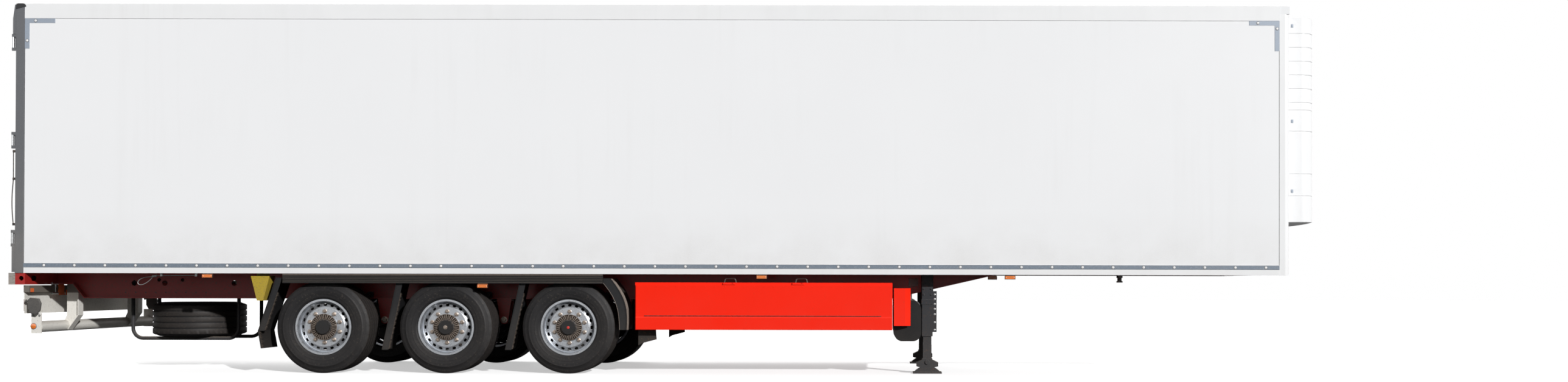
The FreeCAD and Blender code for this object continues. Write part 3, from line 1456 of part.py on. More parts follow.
def spare_wheel():
    """Spare wheel lying flat in a carrier of two bent tubes."""
    upright = Rotation(Vector(1, 0, 0), 90)
    at = ("spare_x", "0", "spare_z")
    node("spare_tyre", put(tyre("SpareTyre"), at, upright))
    node("spare_rim", put(rim("SpareRim", False), at, upright))
    tubes = []
    low = "spare_bottom - carrier_radius"
    for name, sign in (("Left", ""), ("Right", "-")):
        tubes.append(rod(f"CarrierTube{name}", ("tail + carrier_back + carrier_bend",
                                                f"{sign}carrier_offset", low),
                         "carrier_radius", "carrier_front - carrier_back - 2 * carrier_bend", "X"))
        for end, place, bend_x, turn in (
                ("Back", "tail + carrier_back", "tail + carrier_back + carrier_bend", 180),
                ("Front", "tail + carrier_front", "tail + carrier_front - carrier_bend", 270)):
            tubes.append(rod(f"CarrierPost{name}{end}", (place, f"{sign}carrier_offset",
                                                         f"{low} + carrier_bend"),
                             "carrier_radius", f"member_under - {low} - carrier_bend"))
            bend = doc.addObject("Part::Torus", f"CarrierBend{name}{end}")
            tie(bend, Radius1="carrier_bend", Radius2="carrier_radius")
            bend.Angle3 = 90
            facing = Rotation(Vector(1, 0, 0), 90) * Rotation(Vector(0, 0, 1), turn)
            tubes.append(put(bend, (bend_x, f"{sign}carrier_offset", f"{low} + carrier_bend"), facing))
    for end, place in (("Back", "tail + carrier_back"), ("Front", "tail + carrier_front")):
        tubes.append(box(f"CarrierBar{end}", (f"{place} - carrier_radius", "-web_in",
                                              "member_under - 2 * carrier_radius"),
                         ("2 * carrier_radius", "2 * web_in", "2 * carrier_radius")))
    node("spare_carrier", joined("SpareCarrier", tubes))


def small_gear():
    """Air tanks, side markers and wheel chocks."""
    tanks = []
    for index in (3, 4):
        place = f"tail + member_first + {index} * member_pitch - air_tank_length / 2"
        tanks.append(rod(f"AirTank{index}", (place, "0", "member_under - air_tank_radius"),
                         "air_tank_radius", "air_tank_length", "X"))
    node("air_tanks", group("AirTanks", tanks))
    markers = []
    for place, top in (("marker_first", "body_bottom"), ("marker_second", "skirt_bottom"),
                       ("marker_third", "body_bottom"), ("marker_fourth", "body_bottom")):
        start = f"tail + {place} - marker_length / 2"
        lamp_low = f"{top} - marker_drop - marker_height"
        markers.append(joined(place, [
            box(place + "_plate", (start, "panel_out - marker_depth", lamp_low),
                ("marker_length", "marker_sheet", "marker_drop + marker_height")),
            box(place + "_lamp", (start, "panel_out - marker_depth + marker_sheet", lamp_low),
                ("marker_length", "marker_depth - marker_sheet", "marker_height")),
        ]))
    node("side_markers", both_sides("Markers", group("MarkersLeft", markers)))
    chock = slab("Chock", "XZ", [
        ("tail + chock_back", "chock_top"),
        ("tail + chock_back + chock_length / 3", "chock_bottom"),
        ("tail + chock_back + chock_length * 2 / 3", "chock_bottom"),
        ("tail + chock_back + chock_length", "chock_top"),
    ], "chock_in", "chock_width")
    holder = box("ChockHolder", ("tail + chock_back", "chock_in - chock_plate", "chock_bottom"),
                 ("chock_length * 2 / 3", "chock_plate", "floor_under - chock_bottom"))
    node("wheel_chocks", both_sides("Chocks", joined("ChockHeld", [chock, holder])))


def export():
    """Check every object, then write each node to its own file."""
    doc.recompute()
    for thing in doc.Objects:
        if "Invalid" in thing.State or "Error" in thing.State:
            raise RuntimeError(f"{thing.Name} failed: {thing.State}")
    os.makedirs("parts", exist_ok=True)
    for piece in nodes:
        shape = piece.Shape
        if shape.isNull() or not shape.isValid() or not shape.Solids:
            raise RuntimeError(f"{piece.Label} has no valid shape")
        shape.exportStep(f"parts/{piece.Label}.step")
        print(piece.Label, len(shape.Solids), round(shape.Volume / 1e6, 3))


box_body()
edge_profiles()
rear_frame()
doors()
cooling_unit()
chassis()
tail_gear()
landing_gear()
pallet_box()
fuel_tank()
wheels()
axles()
suspension()
mudguards()
spare_wheel()
small_gear()
export()
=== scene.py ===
import json
import math

import bmesh
import bpy
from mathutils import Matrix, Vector


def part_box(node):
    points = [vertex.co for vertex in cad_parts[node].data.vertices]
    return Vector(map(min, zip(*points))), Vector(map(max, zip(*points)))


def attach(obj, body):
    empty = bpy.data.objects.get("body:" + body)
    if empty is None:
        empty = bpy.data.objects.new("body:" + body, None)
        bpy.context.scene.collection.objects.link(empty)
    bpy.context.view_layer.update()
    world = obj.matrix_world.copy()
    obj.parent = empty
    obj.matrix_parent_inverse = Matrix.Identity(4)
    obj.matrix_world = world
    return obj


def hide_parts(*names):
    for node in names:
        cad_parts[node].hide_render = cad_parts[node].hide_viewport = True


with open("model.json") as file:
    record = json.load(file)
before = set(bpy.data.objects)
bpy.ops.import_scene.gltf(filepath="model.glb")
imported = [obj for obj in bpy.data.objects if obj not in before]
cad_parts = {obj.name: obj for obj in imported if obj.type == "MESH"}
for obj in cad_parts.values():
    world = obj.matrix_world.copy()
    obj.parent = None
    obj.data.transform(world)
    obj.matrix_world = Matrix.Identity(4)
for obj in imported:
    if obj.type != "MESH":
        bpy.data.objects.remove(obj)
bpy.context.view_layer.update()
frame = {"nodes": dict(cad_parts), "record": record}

# Camera and light, in metres and degrees
CAMERA_PLACE = (2.281, -16.93, 0.9957)
CAMERA_PITCH = 0.396
CAMERA_ROLL = 0.119
CAMERA_LENS = 33.85
CAMERA_SENSOR = 36
CAMERA_SHIFT = (-0.0640, 0.0508)
SUN_STRENGTH = 3.6
SUN_SIZE = 1.2
SUN_FROM = (0.7, -0.95, 0.46)
SKY_FILL = 0.15
FILL_STRENGTH = 3.2
FILL_SIZE = 80
FILL_FROM = (-0.65, 0.65, 0.4)
FLOOR_REACH = 60.0

MM = 0.001
X_AXIS = Vector((1, 0, 0))
Y_AXIS = Vector((0, 1, 0))
Z_AXIS = Vector((0, 0, 1))
ROWS = ("rear", "middle", "front")
SIDES = {"right": -1, "left": 1}


def box_of(node):
    """A node's low and high corners at rest, in millimetres."""
    low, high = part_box(node)
    return low / MM, high / MM


def wheel_centre(row, side):
    """The middle of a wheel in millimetres, from its tyre's box."""
    low, high = box_of(f"tyre_{row}_{side}")
    return (low + high) / 2


def at(x, y, z):
    """A place or an offset in millimetres."""
    return Vector((x, y, z))


# Places along the trailer in millimetres, worked out from the frame
TAIL = box_of("tail_beam")[0].x
NOSE = box_of("front_corner_posts")[1].x
SIDE = abs(box_of("side_wall_right")[0].y)
BODY_BOTTOM = box_of("floor_edge_profiles")[0].z
RAIL_LOW, RAIL_HIGH = box_of("rub_rails")
TYRE_LOW, TYRE_HIGH = box_of("tyre_rear_right")
WHEEL_RADIUS = (TYRE_HIGH.z - TYRE_LOW.z) / 2
TYRE_HALF = (TYRE_HIGH.y - TYRE_LOW.y) / 2


# Shader helpers

def put(tree, node, inputs):
    """Give a node's inputs values or links."""
    for name, value in inputs.items():
        if isinstance(value, bpy.types.NodeSocket):
            tree.links.new(value, node.inputs[name])
        else:
            node.inputs[name].default_value = value


def add(tree, kind, inputs=None, **settings):
    """Add a shader node with its settings, and fill its inputs."""
    node = tree.nodes.new("ShaderNode" + kind)
    for name, value in settings.items():
        setattr(node, name, value)
    put(tree, node, inputs or {})
    return node


def maths(tree, operation, *values, clamp=False):
    """One Math node on values or sockets, and its result."""
    node = add(tree, "Math", dict(enumerate(values)), operation=operation, use_clamp=clamp)
    return node.outputs[0]


def times(tree, *values, clamp=False):
    """The product of two or more values."""
    product = values[0]
    for value in values[1:-1]:
        product = maths(tree, "MULTIPLY", product, value)
    return maths(tree, "MULTIPLY", product, values[-1], clamp=clamp)


def plus(tree, first, second, clamp=False):
    """The sum of two values."""
    return maths(tree, "ADD", first, second, clamp=clamp)


def minus(tree, first, second):
    """The difference of two values."""
    return maths(tree, "SUBTRACT", first, second)


def blend(tree, share, first, second):
    """A colour mix by a share, and its result."""
    return add(tree, "Mix", {0: share, 6: first, 7: second}, data_type="RGBA").outputs[2]


def span(tree, value, low, high, start=0.0, end=1.0):
    """A value from low to high turned into start to end, held there."""
    levels = {"Value": value, "From Min": low, "From Max": high, "To Min": start, "To Max": end}
    return add(tree, "MapRange", levels).outputs[0]


def noise(tree, place, scale, detail=3.0, rough=0.55):
    """A noise value at a place."""
    settings = {"Vector": place, "Scale": scale, "Detail": detail, "Roughness": rough}
    return add(tree, "TexNoise", settings).outputs["Fac"]


def stretched(tree, place, scales):
    """A place with each axis scaled."""
    return add(tree, "Mapping", {"Vector": place, "Scale": scales}).outputs[0]


def parts_of(tree, vector):
    """The X, Y and Z of a vector."""
    return add(tree, "SeparateXYZ", {0: vector}).outputs


def length_of(tree, vector):
    """The length of a vector."""
    return add(tree, "VectorMath", {0: vector}, operation="LENGTH").outputs["Value"]


def place_of(tree):
    """The place in the piece's own frame, which is the trailer's for what isn't moved."""
    return add(tree, "TexCoord").outputs["Object"]


def effect(name, inputs, *outputs):
    """Start a shader group with inputs {label: value}, a colour where a value has three parts."""
    tree = bpy.data.node_groups.new(name, "ShaderNodeTree")
    for label, value in {"Color": (0.5, 0.5, 0.5), **inputs}.items():
        colour = isinstance(value, tuple)
        kind = "NodeSocketColor" if colour else "NodeSocketFloat"
        socket = tree.interface.new_socket(label, in_out="INPUT", socket_type=kind)
        socket.default_value = (*value, 1) if colour else value
    kinds = {"Color": "NodeSocketColor", "Normal": "NodeSocketVector"}
    for label in ("Color", *outputs):
        kind = kinds.get(label, "NodeSocketFloat")
        tree.interface.new_socket(label, in_out="OUTPUT", socket_type=kind)
    entry = tree.nodes.new("NodeGroupInput").outputs
    result = tree.nodes.new("NodeGroupOutput").inputs
    return tree, entry, result


def cover(tree, entry, result, mask, colour):
    """Lay a colour over the surface by a mask, and put both out."""
    tree.links.new(blend(tree, mask, entry["Color"], entry[colour]), result["Color"])
    tree.links.new(mask, result["Mask"])
    return tree


# Effects that several finishes share

def paint_film():
    """Slow tone changes, fine mottling and the skin of a sprayed or rolled surface."""
    tree, entry, result = effect(
        "paint_film",
        {"Tone": 0.06, "Patch Size": 1.5, "Grain": 300.0, "Skin": 0.05, "Roughness": 0.4,
         "Gloss Change": 0.1},
        "Roughness", "Normal")
    place = place_of(tree)
    slow = noise(tree, place, entry["Patch Size"])
    fine = noise(tree, place, entry["Grain"], 2.0)
    both = plus(tree, times(tree, slow, 0.75), times(tree, fine, 0.25))
    light = plus(tree, 1.0, times(tree, minus(tree, both, 0.5), entry["Tone"], 4.0))
    scaled = add(tree, "VectorMath", {0: entry["Color"], "Scale": light}, operation="SCALE")
    tree.links.new(scaled.outputs[0], result["Color"])
    gloss = times(tree, minus(tree, slow, 0.5), entry["Gloss Change"])
    tree.links.new(plus(tree, entry["Roughness"], gloss, clamp=True), result["Roughness"])
    bump = add(tree, "Bump", {"Height": fine, "Strength": entry["Skin"], "Distance": 0.002})
    tree.links.new(bump.outputs[0], result["Normal"])
    return tree


def road_dust():
    """Road dust, thick low down and on what faces up, in clouds and fine specks."""
    tree, entry, result = effect(
        "road_dust",
        {"Dust": (0.23, 0.19, 0.15), "Amount": 0.5, "Low": 0.3, "High": 1.3, "Ledge": 0.4,
         "Roughness": 0.5},
        "Roughness", "Mask")
    place = place_of(tree)
    low = span(tree, parts_of(tree, place)["Z"], entry["High"], entry["Low"])
    cloud = span(tree, noise(tree, place, 2.4, 5.0, 0.6), 0.32, 0.68)
    speck = span(tree, noise(tree, place, 90.0, 3.0, 0.7), 0.35, 0.75)
    facing = parts_of(tree, add(tree, "NewGeometry").outputs["Normal"])["Z"]
    ledge = times(tree, span(tree, facing, 0.3, 0.9), entry["Ledge"])
    body = times(tree, low, entry["Amount"], plus(tree, 0.35, cloud),
                 plus(tree, 0.6, times(tree, speck, 0.5)))
    mask = plus(tree, body, ledge, clamp=True)
    dull = times(tree, mask, minus(tree, 0.92, entry["Roughness"]))
    tree.links.new(plus(tree, entry["Roughness"], dull), result["Roughness"])
    return cover(tree, entry, result, mask, "Dust")


def edge_wear():
    """Paint worn off along edges, broken up by noise."""
    tree, entry, result = effect(
        "edge_wear",
        {"Bare": (0.35, 0.33, 0.31), "Radius": 0.004, "Amount": 0.6, "Break Up": 40.0}, "Mask")
    rounded = add(tree, "Bevel", {"Radius": entry["Radius"]}, samples=4).outputs[0]
    plain = add(tree, "NewGeometry").outputs["Normal"]
    along = add(tree, "VectorMath", {0: rounded, 1: plain}, operation="DOT_PRODUCT").outputs["Value"]
    edge = span(tree, along, 0.985, 0.86)
    broken = span(tree, noise(tree, place_of(tree), entry["Break Up"], 4.0, 0.65), 0.42, 0.6)
    return cover(tree, entry, result, times(tree, edge, broken, entry["Amount"], clamp=True), "Bare")


def rain_streaks():
    """Faint dirt washed down a wall in uneven lines."""
    tree, entry, result = effect(
        "rain_streaks", {"Dirt": (0.42, 0.4, 0.37), "Amount": 0.15, "Spacing": 9.0}, "Mask")
    place = place_of(tree)
    lines = noise(tree, stretched(tree, place, (1.0, 1.0, 0.035)), entry["Spacing"], 4.0, 0.6)
    patches = span(tree, noise(tree, place, 0.8, 2.0), 0.4, 0.7)
    mask = times(tree, span(tree, lines, 0.5, 0.8), patches, entry["Amount"], clamp=True)
    return cover(tree, entry, result, mask, "Dirt")


def flecks():
    """Small flecks and pits, as on weathered aluminium, zinc or rusting paint."""
    tree, entry, result = effect(
        "flecks", {"Fleck": (0.2, 0.2, 0.2), "Size": 120.0, "Amount": 0.5, "Cover": 0.4}, "Mask")
    fine = noise(tree, place_of(tree), entry["Size"], 4.0, 0.75)
    edge = minus(tree, 0.72, times(tree, entry["Cover"], 0.4))
    spot = span(tree, fine, edge, plus(tree, edge, 0.08))
    return cover(tree, entry, result, times(tree, spot, entry["Amount"], clamp=True), "Fleck")


def scratches():
    """Fine scratches in two directions."""
    tree, entry, result = effect(
        "scratches", {"Scratch": (0.7, 0.7, 0.7), "Amount": 0.3, "Spacing": 14.0}, "Mask")
    place = place_of(tree)
    marks = []
    for scales in ((1.0, 1.0, 40.0), (28.0, 1.0, 1.5)):
        lines = noise(tree, stretched(tree, place, scales), entry["Spacing"], 2.0, 0.5)
        patch = span(tree, noise(tree, stretched(tree, place, scales[::-1]), 3.0, 1.0), 0.52, 0.62)
        marks.append(times(tree, span(tree, lines, 0.68, 0.72), patch))
    mask = times(tree, maths(tree, "MAXIMUM", *marks), entry["Amount"], clamp=True)
    return cover(tree, entry, result, mask, "Scratch")


# Each effect's group, and the inputs that a finish gives it, in order
EFFECTS = {"film": (paint_film(), ("Tone", "Patch Size", "Grain", "Skin")),
           "dust": (road_dust(), ("Dust", "Amount", "Low", "High", "Ledge")),
           "wear": (edge_wear(), ("Bare", "Amount")),
           "streaks": (rain_streaks(), ("Amount", "Spacing")),
           "flecks": (flecks(), ("Fleck", "Size", "Amount", "Cover")),
           "scratches": (scratches(), ("Scratch", "Amount", "Spacing"))}
COAT_ROUGHNESS = 0.12


def finish(colour, rough, metal=0.0, coat=0.0, gloss=0.5, bump=None, **layers):
    """A material: its film first, then each effect laid over it in the order given.

    A layer holds the inputs that EFFECTS names. bump is a function that gives a height and a depth."""
    made = bpy.data.materials.new("finish")
    made.use_nodes = True
    tree = made.node_tree
    shader = tree.nodes["Principled BSDF"]
    put(tree, shader, {"Metallic": metal, "Coat Weight": coat, "Coat Roughness": COAT_ROUGHNESS,
                       "Specular IOR Level": gloss})
    surface = {"Color": (*colour, 1), "Roughness": rough}
    for name, values in layers.items():
        group, labels = EFFECTS[name]
        layer = add(tree, "Group", node_tree=group)
        put(tree, layer, {label: (*value, 1) if isinstance(value, tuple) else value
                          for label, value in zip(labels, values)})
        put(tree, layer, {label: now for label, now in surface.items() if label in layer.inputs})
        surface.update({out.name: out for out in layer.outputs if out.name != "Mask"})
    if bump:
        height, depth = bump(tree)
        surface["Normal"] = add(tree, "Bump", {"Height": height, "Distance": depth,
                                               "Normal": surface["Normal"]}).outputs[0]
    put(tree, shader, {"Base Color": surface["Color"], "Roughness": surface["Roughness"],
                       "Normal": surface["Normal"]})
    return made


def more(made):
    """A finish's node tree, its shader and the colour that reaches it, to lay more over it."""
    tree = made.node_tree
    shader = tree.nodes["Principled BSDF"]
    return tree, shader, shader.inputs["Base Color"].links[0].from_socket


def fluted(spacing, direction):
    """Fine ridges, as inside a lamp lens."""
    def bump(tree):
        lines = add(tree, "TexWave", {"Vector": place_of(tree), "Scale": 0.3142 / spacing},
                    bands_direction=direction)
        return lines.outputs["Fac"], 0.0015
    return bump


def wheel_distance(tree):
    """The distance from the middle of the nearest wheel, for whatever turns with one."""
    rear, middle = (wheel_centre(row, "right") * MM for row in ("rear", "middle"))
    spread = middle.x - rear.x
    part = parts_of(tree, place_of(tree))
    wrapped = maths(tree, "WRAP", minus(tree, part["X"], rear.x - spread / 2), spread, 0.0)
    flat = add(tree, "CombineXYZ", {"X": minus(tree, wrapped, spread / 2),
                                    "Y": minus(tree, part["Z"], rear.z)}).outputs[0]
    return length_of(tree, flat)


# Finishes, one for each material slot of the record and a few for small added pieces

FINISHES = {}
ROAD_DUST = (0.24, 0.2, 0.16)
DRY_DUST = (0.36, 0.32, 0.27)
BARE_STEEL = (0.38, 0.36, 0.34)
RUST = (0.16, 0.075, 0.035)
SOOT = (0.03, 0.028, 0.026)


def kept(build):
    """Make a finish and keep it under its function's name."""
    made = build()
    made.name = build.__name__
    FINISHES[build.__name__] = made
    return build


@kept
def panel_white():
    return finish((0.86, 0.865, 0.875), 0.33, coat=0.2, film=(0.012, 0.7, 180, 0.03),
                  streaks=(0.09, 7), dust=(DRY_DUST, 0.16, 1.15, 1.75, 0.1))


@kept
def roof_white():
    return finish((0.8, 0.81, 0.82), 0.42, film=(0.03, 0.6, 60, 0.06),
                  dust=(DRY_DUST, 0.0, 0.3, 1.3, 0.35))


@kept
def door_white():
    return finish((0.84, 0.85, 0.86), 0.36, coat=0.15, film=(0.02, 1.1, 150, 0.04),
                  streaks=(0.2, 10), dust=(DRY_DUST, 0.35, 1.1, 2.6, 0.3))


@kept
def edge_profile():
    return finish((0.84, 0.845, 0.85), 0.36, film=(0.02, 3, 240, 0.03), streaks=(0.1, 9),
                  dust=(DRY_DUST, 0.12, 1.0, 1.4, 0.3))


@kept
def rub_rail():
    return finish((0.16, 0.2, 0.25), 0.45, metal=0.1, film=(0.05, 6, 260, 0.12),
                  flecks=((0.3, 0.34, 0.4), 95, 0.45, 0.5), dust=(DRY_DUST, 0.15, 0.9, 1.5, 0.3))


@kept
def corner_grey():
    return finish((0.34, 0.39, 0.46), 0.5, metal=0.1, film=(0.04, 9, 280, 0.14),
                  flecks=((0.25, 0.28, 0.33), 150, 0.5, 0.6))


@kept
def frame_grey():
    return finish((0.135, 0.14, 0.15), 0.4, metal=0.3, film=(0.05, 4, 260, 0.08),
                  flecks=((0.3, 0.3, 0.31), 130, 0.35, 0.45), wear=(BARE_STEEL, 0.6),
                  dust=(DRY_DUST, 0.3, 1.1, 2.4, 0.3))


@kept
def zinc_steel():
    return finish((0.56, 0.57, 0.58), 0.3, metal=0.9, film=(0.06, 14, 340, 0.08),
                  flecks=((0.33, 0.33, 0.33), 85, 0.5, 0.5), dust=(DRY_DUST, 0.25, 1.0, 2.0, 0.3))


@kept
def unit_white():
    return finish((0.84, 0.845, 0.85), 0.3, coat=0.3, film=(0.014, 1.5, 140, 0.05),
                  streaks=(0.16, 12), dust=(DRY_DUST, 0.0, 0.3, 1.3, 0.2))


@kept
def grille_black():
    return finish((0.028, 0.029, 0.032), 0.55, film=(0.08, 4, 200, 0.1),
                  dust=(DRY_DUST, 0.25, 1.6, 4.0, 0.3))


@kept
def chassis_red():
    return finish((0.36, 0.014, 0.012), 0.42, coat=0.1, film=(0.07, 2.2, 120, 0.1),
                  flecks=((0.1, 0.03, 0.02), 60, 0.55, 0.45), wear=(RUST, 0.5),
                  dust=(ROAD_DUST, 0.1, 0.35, 1.2, 0.35))


@kept
def kingpin_steel():
    return finish((0.3, 0.29, 0.28), 0.32, metal=0.95, film=(0.08, 20, 400, 0.1),
                  flecks=(SOOT, 35, 0.85, 0.8), scratches=((0.7, 0.7, 0.7), 0.5, 60))


@kept
def beam_grey():
    return finish((0.3, 0.275, 0.25), 0.55, film=(0.08, 5, 160, 0.15),
                  flecks=((0.12, 0.1, 0.085), 70, 0.6, 0.5), wear=(RUST, 0.6),
                  dust=(DRY_DUST, 0.4, 0.6, 1.5, 0.5))


@kept
def lamp_red():
    return finish((0.42, 0.012, 0.01), 0.16, coat=1.0, bump=fluted(0.006, "Y"),
                  film=(0.04, 20, 150, 0.02), dust=(DRY_DUST, 0.2, 0.4, 1.0, 0.4))


@kept
def lamp_amber():
    return finish((0.9, 0.2, 0.006), 0.18, coat=1.0, bump=fluted(0.005, "X"),
                  film=(0.05, 20, 150, 0.02), dust=(DRY_DUST, 0.12, 0.4, 1.4, 0.4))


@kept
def bumper_white():
    """Off-white paint, hidden on the lamp bar by dry dirt."""
    made = finish((0.76, 0.74, 0.69), 0.45, film=(0.04, 3, 130, 0.1),
                  flecks=((0.33, 0.29, 0.24), 75, 0.5, 0.4), wear=(RUST, 0.4),
                  dust=(ROAD_DUST, 0.22, 0.2, 1.0, 0.4))
    tree, shader, current = more(made)
    dirty = span(tree, parts_of(tree, place_of(tree))["Z"], 0.846, 0.852, 0.0, 0.93)
    put(tree, shader, {"Base Color": blend(tree, dirty, current, (0.1, 0.085, 0.068, 1))})
    return made


@kept
def box_orange():
    return finish((0.95, 0.016, 0.001), 0.5, gloss=0.2, film=(0.02, 2, 170, 0.05),
                  flecks=((0.5, 0.06, 0.02), 45, 0.35, 0.25), dust=(ROAD_DUST, 0.05, 0.4, 1.0, 0.2))


@kept
def tank_black():
    return finish((0.009, 0.009, 0.01), 0.45, gloss=0.2, film=(0.06, 3, 220, 0.06),
                  dust=(ROAD_DUST, 0.06, 0.3, 1.1, 0.3))


@kept
def under_black():
    return finish((0.016, 0.0155, 0.0155), 0.5, gloss=0.2, film=(0.1, 4, 150, 0.14),
                  flecks=(RUST, 50, 0.5, 0.35), wear=(RUST, 0.6),
                  dust=(ROAD_DUST, 0.18, 0.25, 1.1, 0.5))


@kept
def leg_grey():
    return finish((0.03, 0.031, 0.035), 0.48, gloss=0.2, film=(0.07, 5, 180, 0.12),
                  flecks=(RUST, 55, 0.4, 0.35), wear=(BARE_STEEL, 0.4),
                  dust=(ROAD_DUST, 0.16, 0.0, 0.8, 0.5))


@kept
def spring_rubber():
    return finish((0.02, 0.02, 0.021), 0.6, film=(0.06, 8, 240, 0.1),
                  dust=(ROAD_DUST, 0.2, 0.3, 1.1, 0.5))


@kept
def mudguard_black():
    return finish((0.012, 0.012, 0.013), 0.5, gloss=0.2, film=(0.06, 5, 300, 0.15),
                  dust=(ROAD_DUST, 0.06, 0.7, 1.5, 0.5))


@kept
def flap_rubber():
    return finish((0.012, 0.012, 0.013), 0.55, gloss=0.2, film=(0.08, 4, 90, 0.2),
                  scratches=((0.1, 0.09, 0.08), 0.3, 9), dust=(ROAD_DUST, 0.16, 0.2, 0.7, 0.4))


@kept
def chock_yellow():
    return finish((0.42, 0.3, 0.015), 0.5, film=(0.05, 9, 160, 0.12),
                  flecks=((0.12, 0.09, 0.05), 60, 0.6, 0.45), dust=(ROAD_DUST, 0.4, 0.5, 1.2, 0.5))


@kept
def tyre_rubber():
    """Rubber with a dark side wall and dry brown dust on the tread."""
    made = finish((0.013, 0.013, 0.0145), 0.55, gloss=0.2, film=(0.08, 5, 240, 0.12),
                  flecks=((0.07, 0.06, 0.05), 40, 0.5, 0.35), dust=(ROAD_DUST, 0.07, -0.6, 1.6, 0.0))
    tree, shader, current = more(made)
    flat = add(tree, "VectorMath", {0: place_of(tree), 1: (1, 0, 1)}, operation="MULTIPLY").outputs[0]
    distance = length_of(tree, flat)
    tread = span(tree, distance, 0.488, 0.505, 0.0, 0.85)
    near = span(tree, distance, 0.6, 0.61, 1.0, 0.0)
    patches = span(tree, noise(tree, place_of(tree), 9.0, 4.0), 0.25, 0.7, 0.45, 1.0)
    dusty = times(tree, tread, near, patches)
    put(tree, shader, {"Base Color": blend(tree, dusty, current, (0.085, 0.065, 0.05, 1))})
    return made


@kept
def rim_silver():
    """Steel wheel paint: bright on the flange, with painted shade over the vent ring inside it, broken up
    by noise and less metallic there, black in the hub.
    """
    made = finish((0.6, 0.625, 0.66), 0.3, metal=0.85, film=(0.05, 9, 260, 0.1),
                  flecks=((0.16, 0.12, 0.09), 70, 0.55, 0.4))
    tree, shader, current = more(made)
    distance = wheel_distance(tree)
    across = maths(tree, "ABSOLUTE", parts_of(tree, place_of(tree))["Y"])
    # Painted shade: the ring of vents between the disc and the flange is blended towards near black in
    # uneven patches, standing for the shade that falls inside the wheel.
    shade_breakup = span(tree, noise(tree, place_of(tree), 22.0, 4.0), 0.3, 0.7, 0.55, 1.0)
    vent_shade = times(tree, span(tree, distance, 0.256, 0.264, 1.0, 0.0),
                   span(tree, distance, 0.207, 0.216), shade_breakup)
    # This blend is the painted shade of the vent ring.
    dull = blend(tree, times(tree, vent_shade, 0.85), current, (0.05, 0.048, 0.05, 1))
    hub = times(tree, span(tree, distance, 0.1385, 0.1395, 1.0, 0.0), span(tree, across, 0.6, 0.61))
    metal = times(tree, minus(tree, 0.85, times(tree, vent_shade, 0.5)), minus(tree, 1.0, hub))
    put(tree, shader, {"Base Color": blend(tree, hub, dull, (0.014, 0.013, 0.013, 1)),
                       "Metallic": metal})
    return made


@kept
def hub_black():
    return finish((0.022, 0.021, 0.021), 0.45, film=(0.08, 14, 300, 0.12),
                  flecks=((0.14, 0.1, 0.075), 60, 0.6, 0.55))


@kept
def dusty_iron():
    return finish((0.17, 0.135, 0.11), 0.6, metal=0.2, film=(0.08, 30, 320, 0.2),
                  flecks=((0.07, 0.05, 0.04), 90, 0.6, 0.5))


@kept
def nut_steel():
    return finish((0.42, 0.36, 0.31), 0.36, metal=0.8, film=(0.1, 25, 400, 0.1),
                  flecks=(RUST, 120, 0.6, 0.5))


@kept
def bright_chrome():
    return finish((0.66, 0.67, 0.68), 0.16, metal=1.0, film=(0.03, 20, 300, 0.03),
                  flecks=((0.25, 0.23, 0.2), 140, 0.4, 0.3))


@kept
def lens_clear():
    return finish((0.75, 0.76, 0.78), 0.12, coat=1.0, bump=fluted(0.005, "Y"),
                  film=(0.03, 20, 150, 0.02))


@kept
def cap_red():
    return finish((0.6, 0.02, 0.015), 0.4, film=(0.05, 20, 260, 0.05),
                  dust=(ROAD_DUST, 0.2, 0.3, 1.6, 0.3))


@kept
def seal_black():
    return finish((0.02, 0.02, 0.022), 0.6, film=(0.05, 8, 200, 0.08),
                  dust=(DRY_DUST, 0.15, 1.0, 2.4, 0.2))


@kept
def strap_orange():
    return finish((0.75, 0.13, 0.02), 0.6, film=(0.06, 10, 420, 0.3),
                  dust=(ROAD_DUST, 0.3, 0.4, 1.2, 0.3))


@kept
def bristle_black():
    return finish((0.018, 0.018, 0.019), 0.55, gloss=0.2, film=(0.12, 30, 300, 0.1),
                  dust=(ROAD_DUST, 0.14, 0.1, 0.8, 0.2))


for entry in frame["record"]["subparts"]:
    node = frame["nodes"][entry["node"]]
    node.data.materials.clear()
    node.data.materials.append(FINISHES[entry["material_slot"]])


# Mesh building, in millimetres

MERGE_DISTANCE = 1e-6
DOME = ((0.0, 1.0), (0.35, 0.96), (0.68, 0.76), (0.9, 0.42))


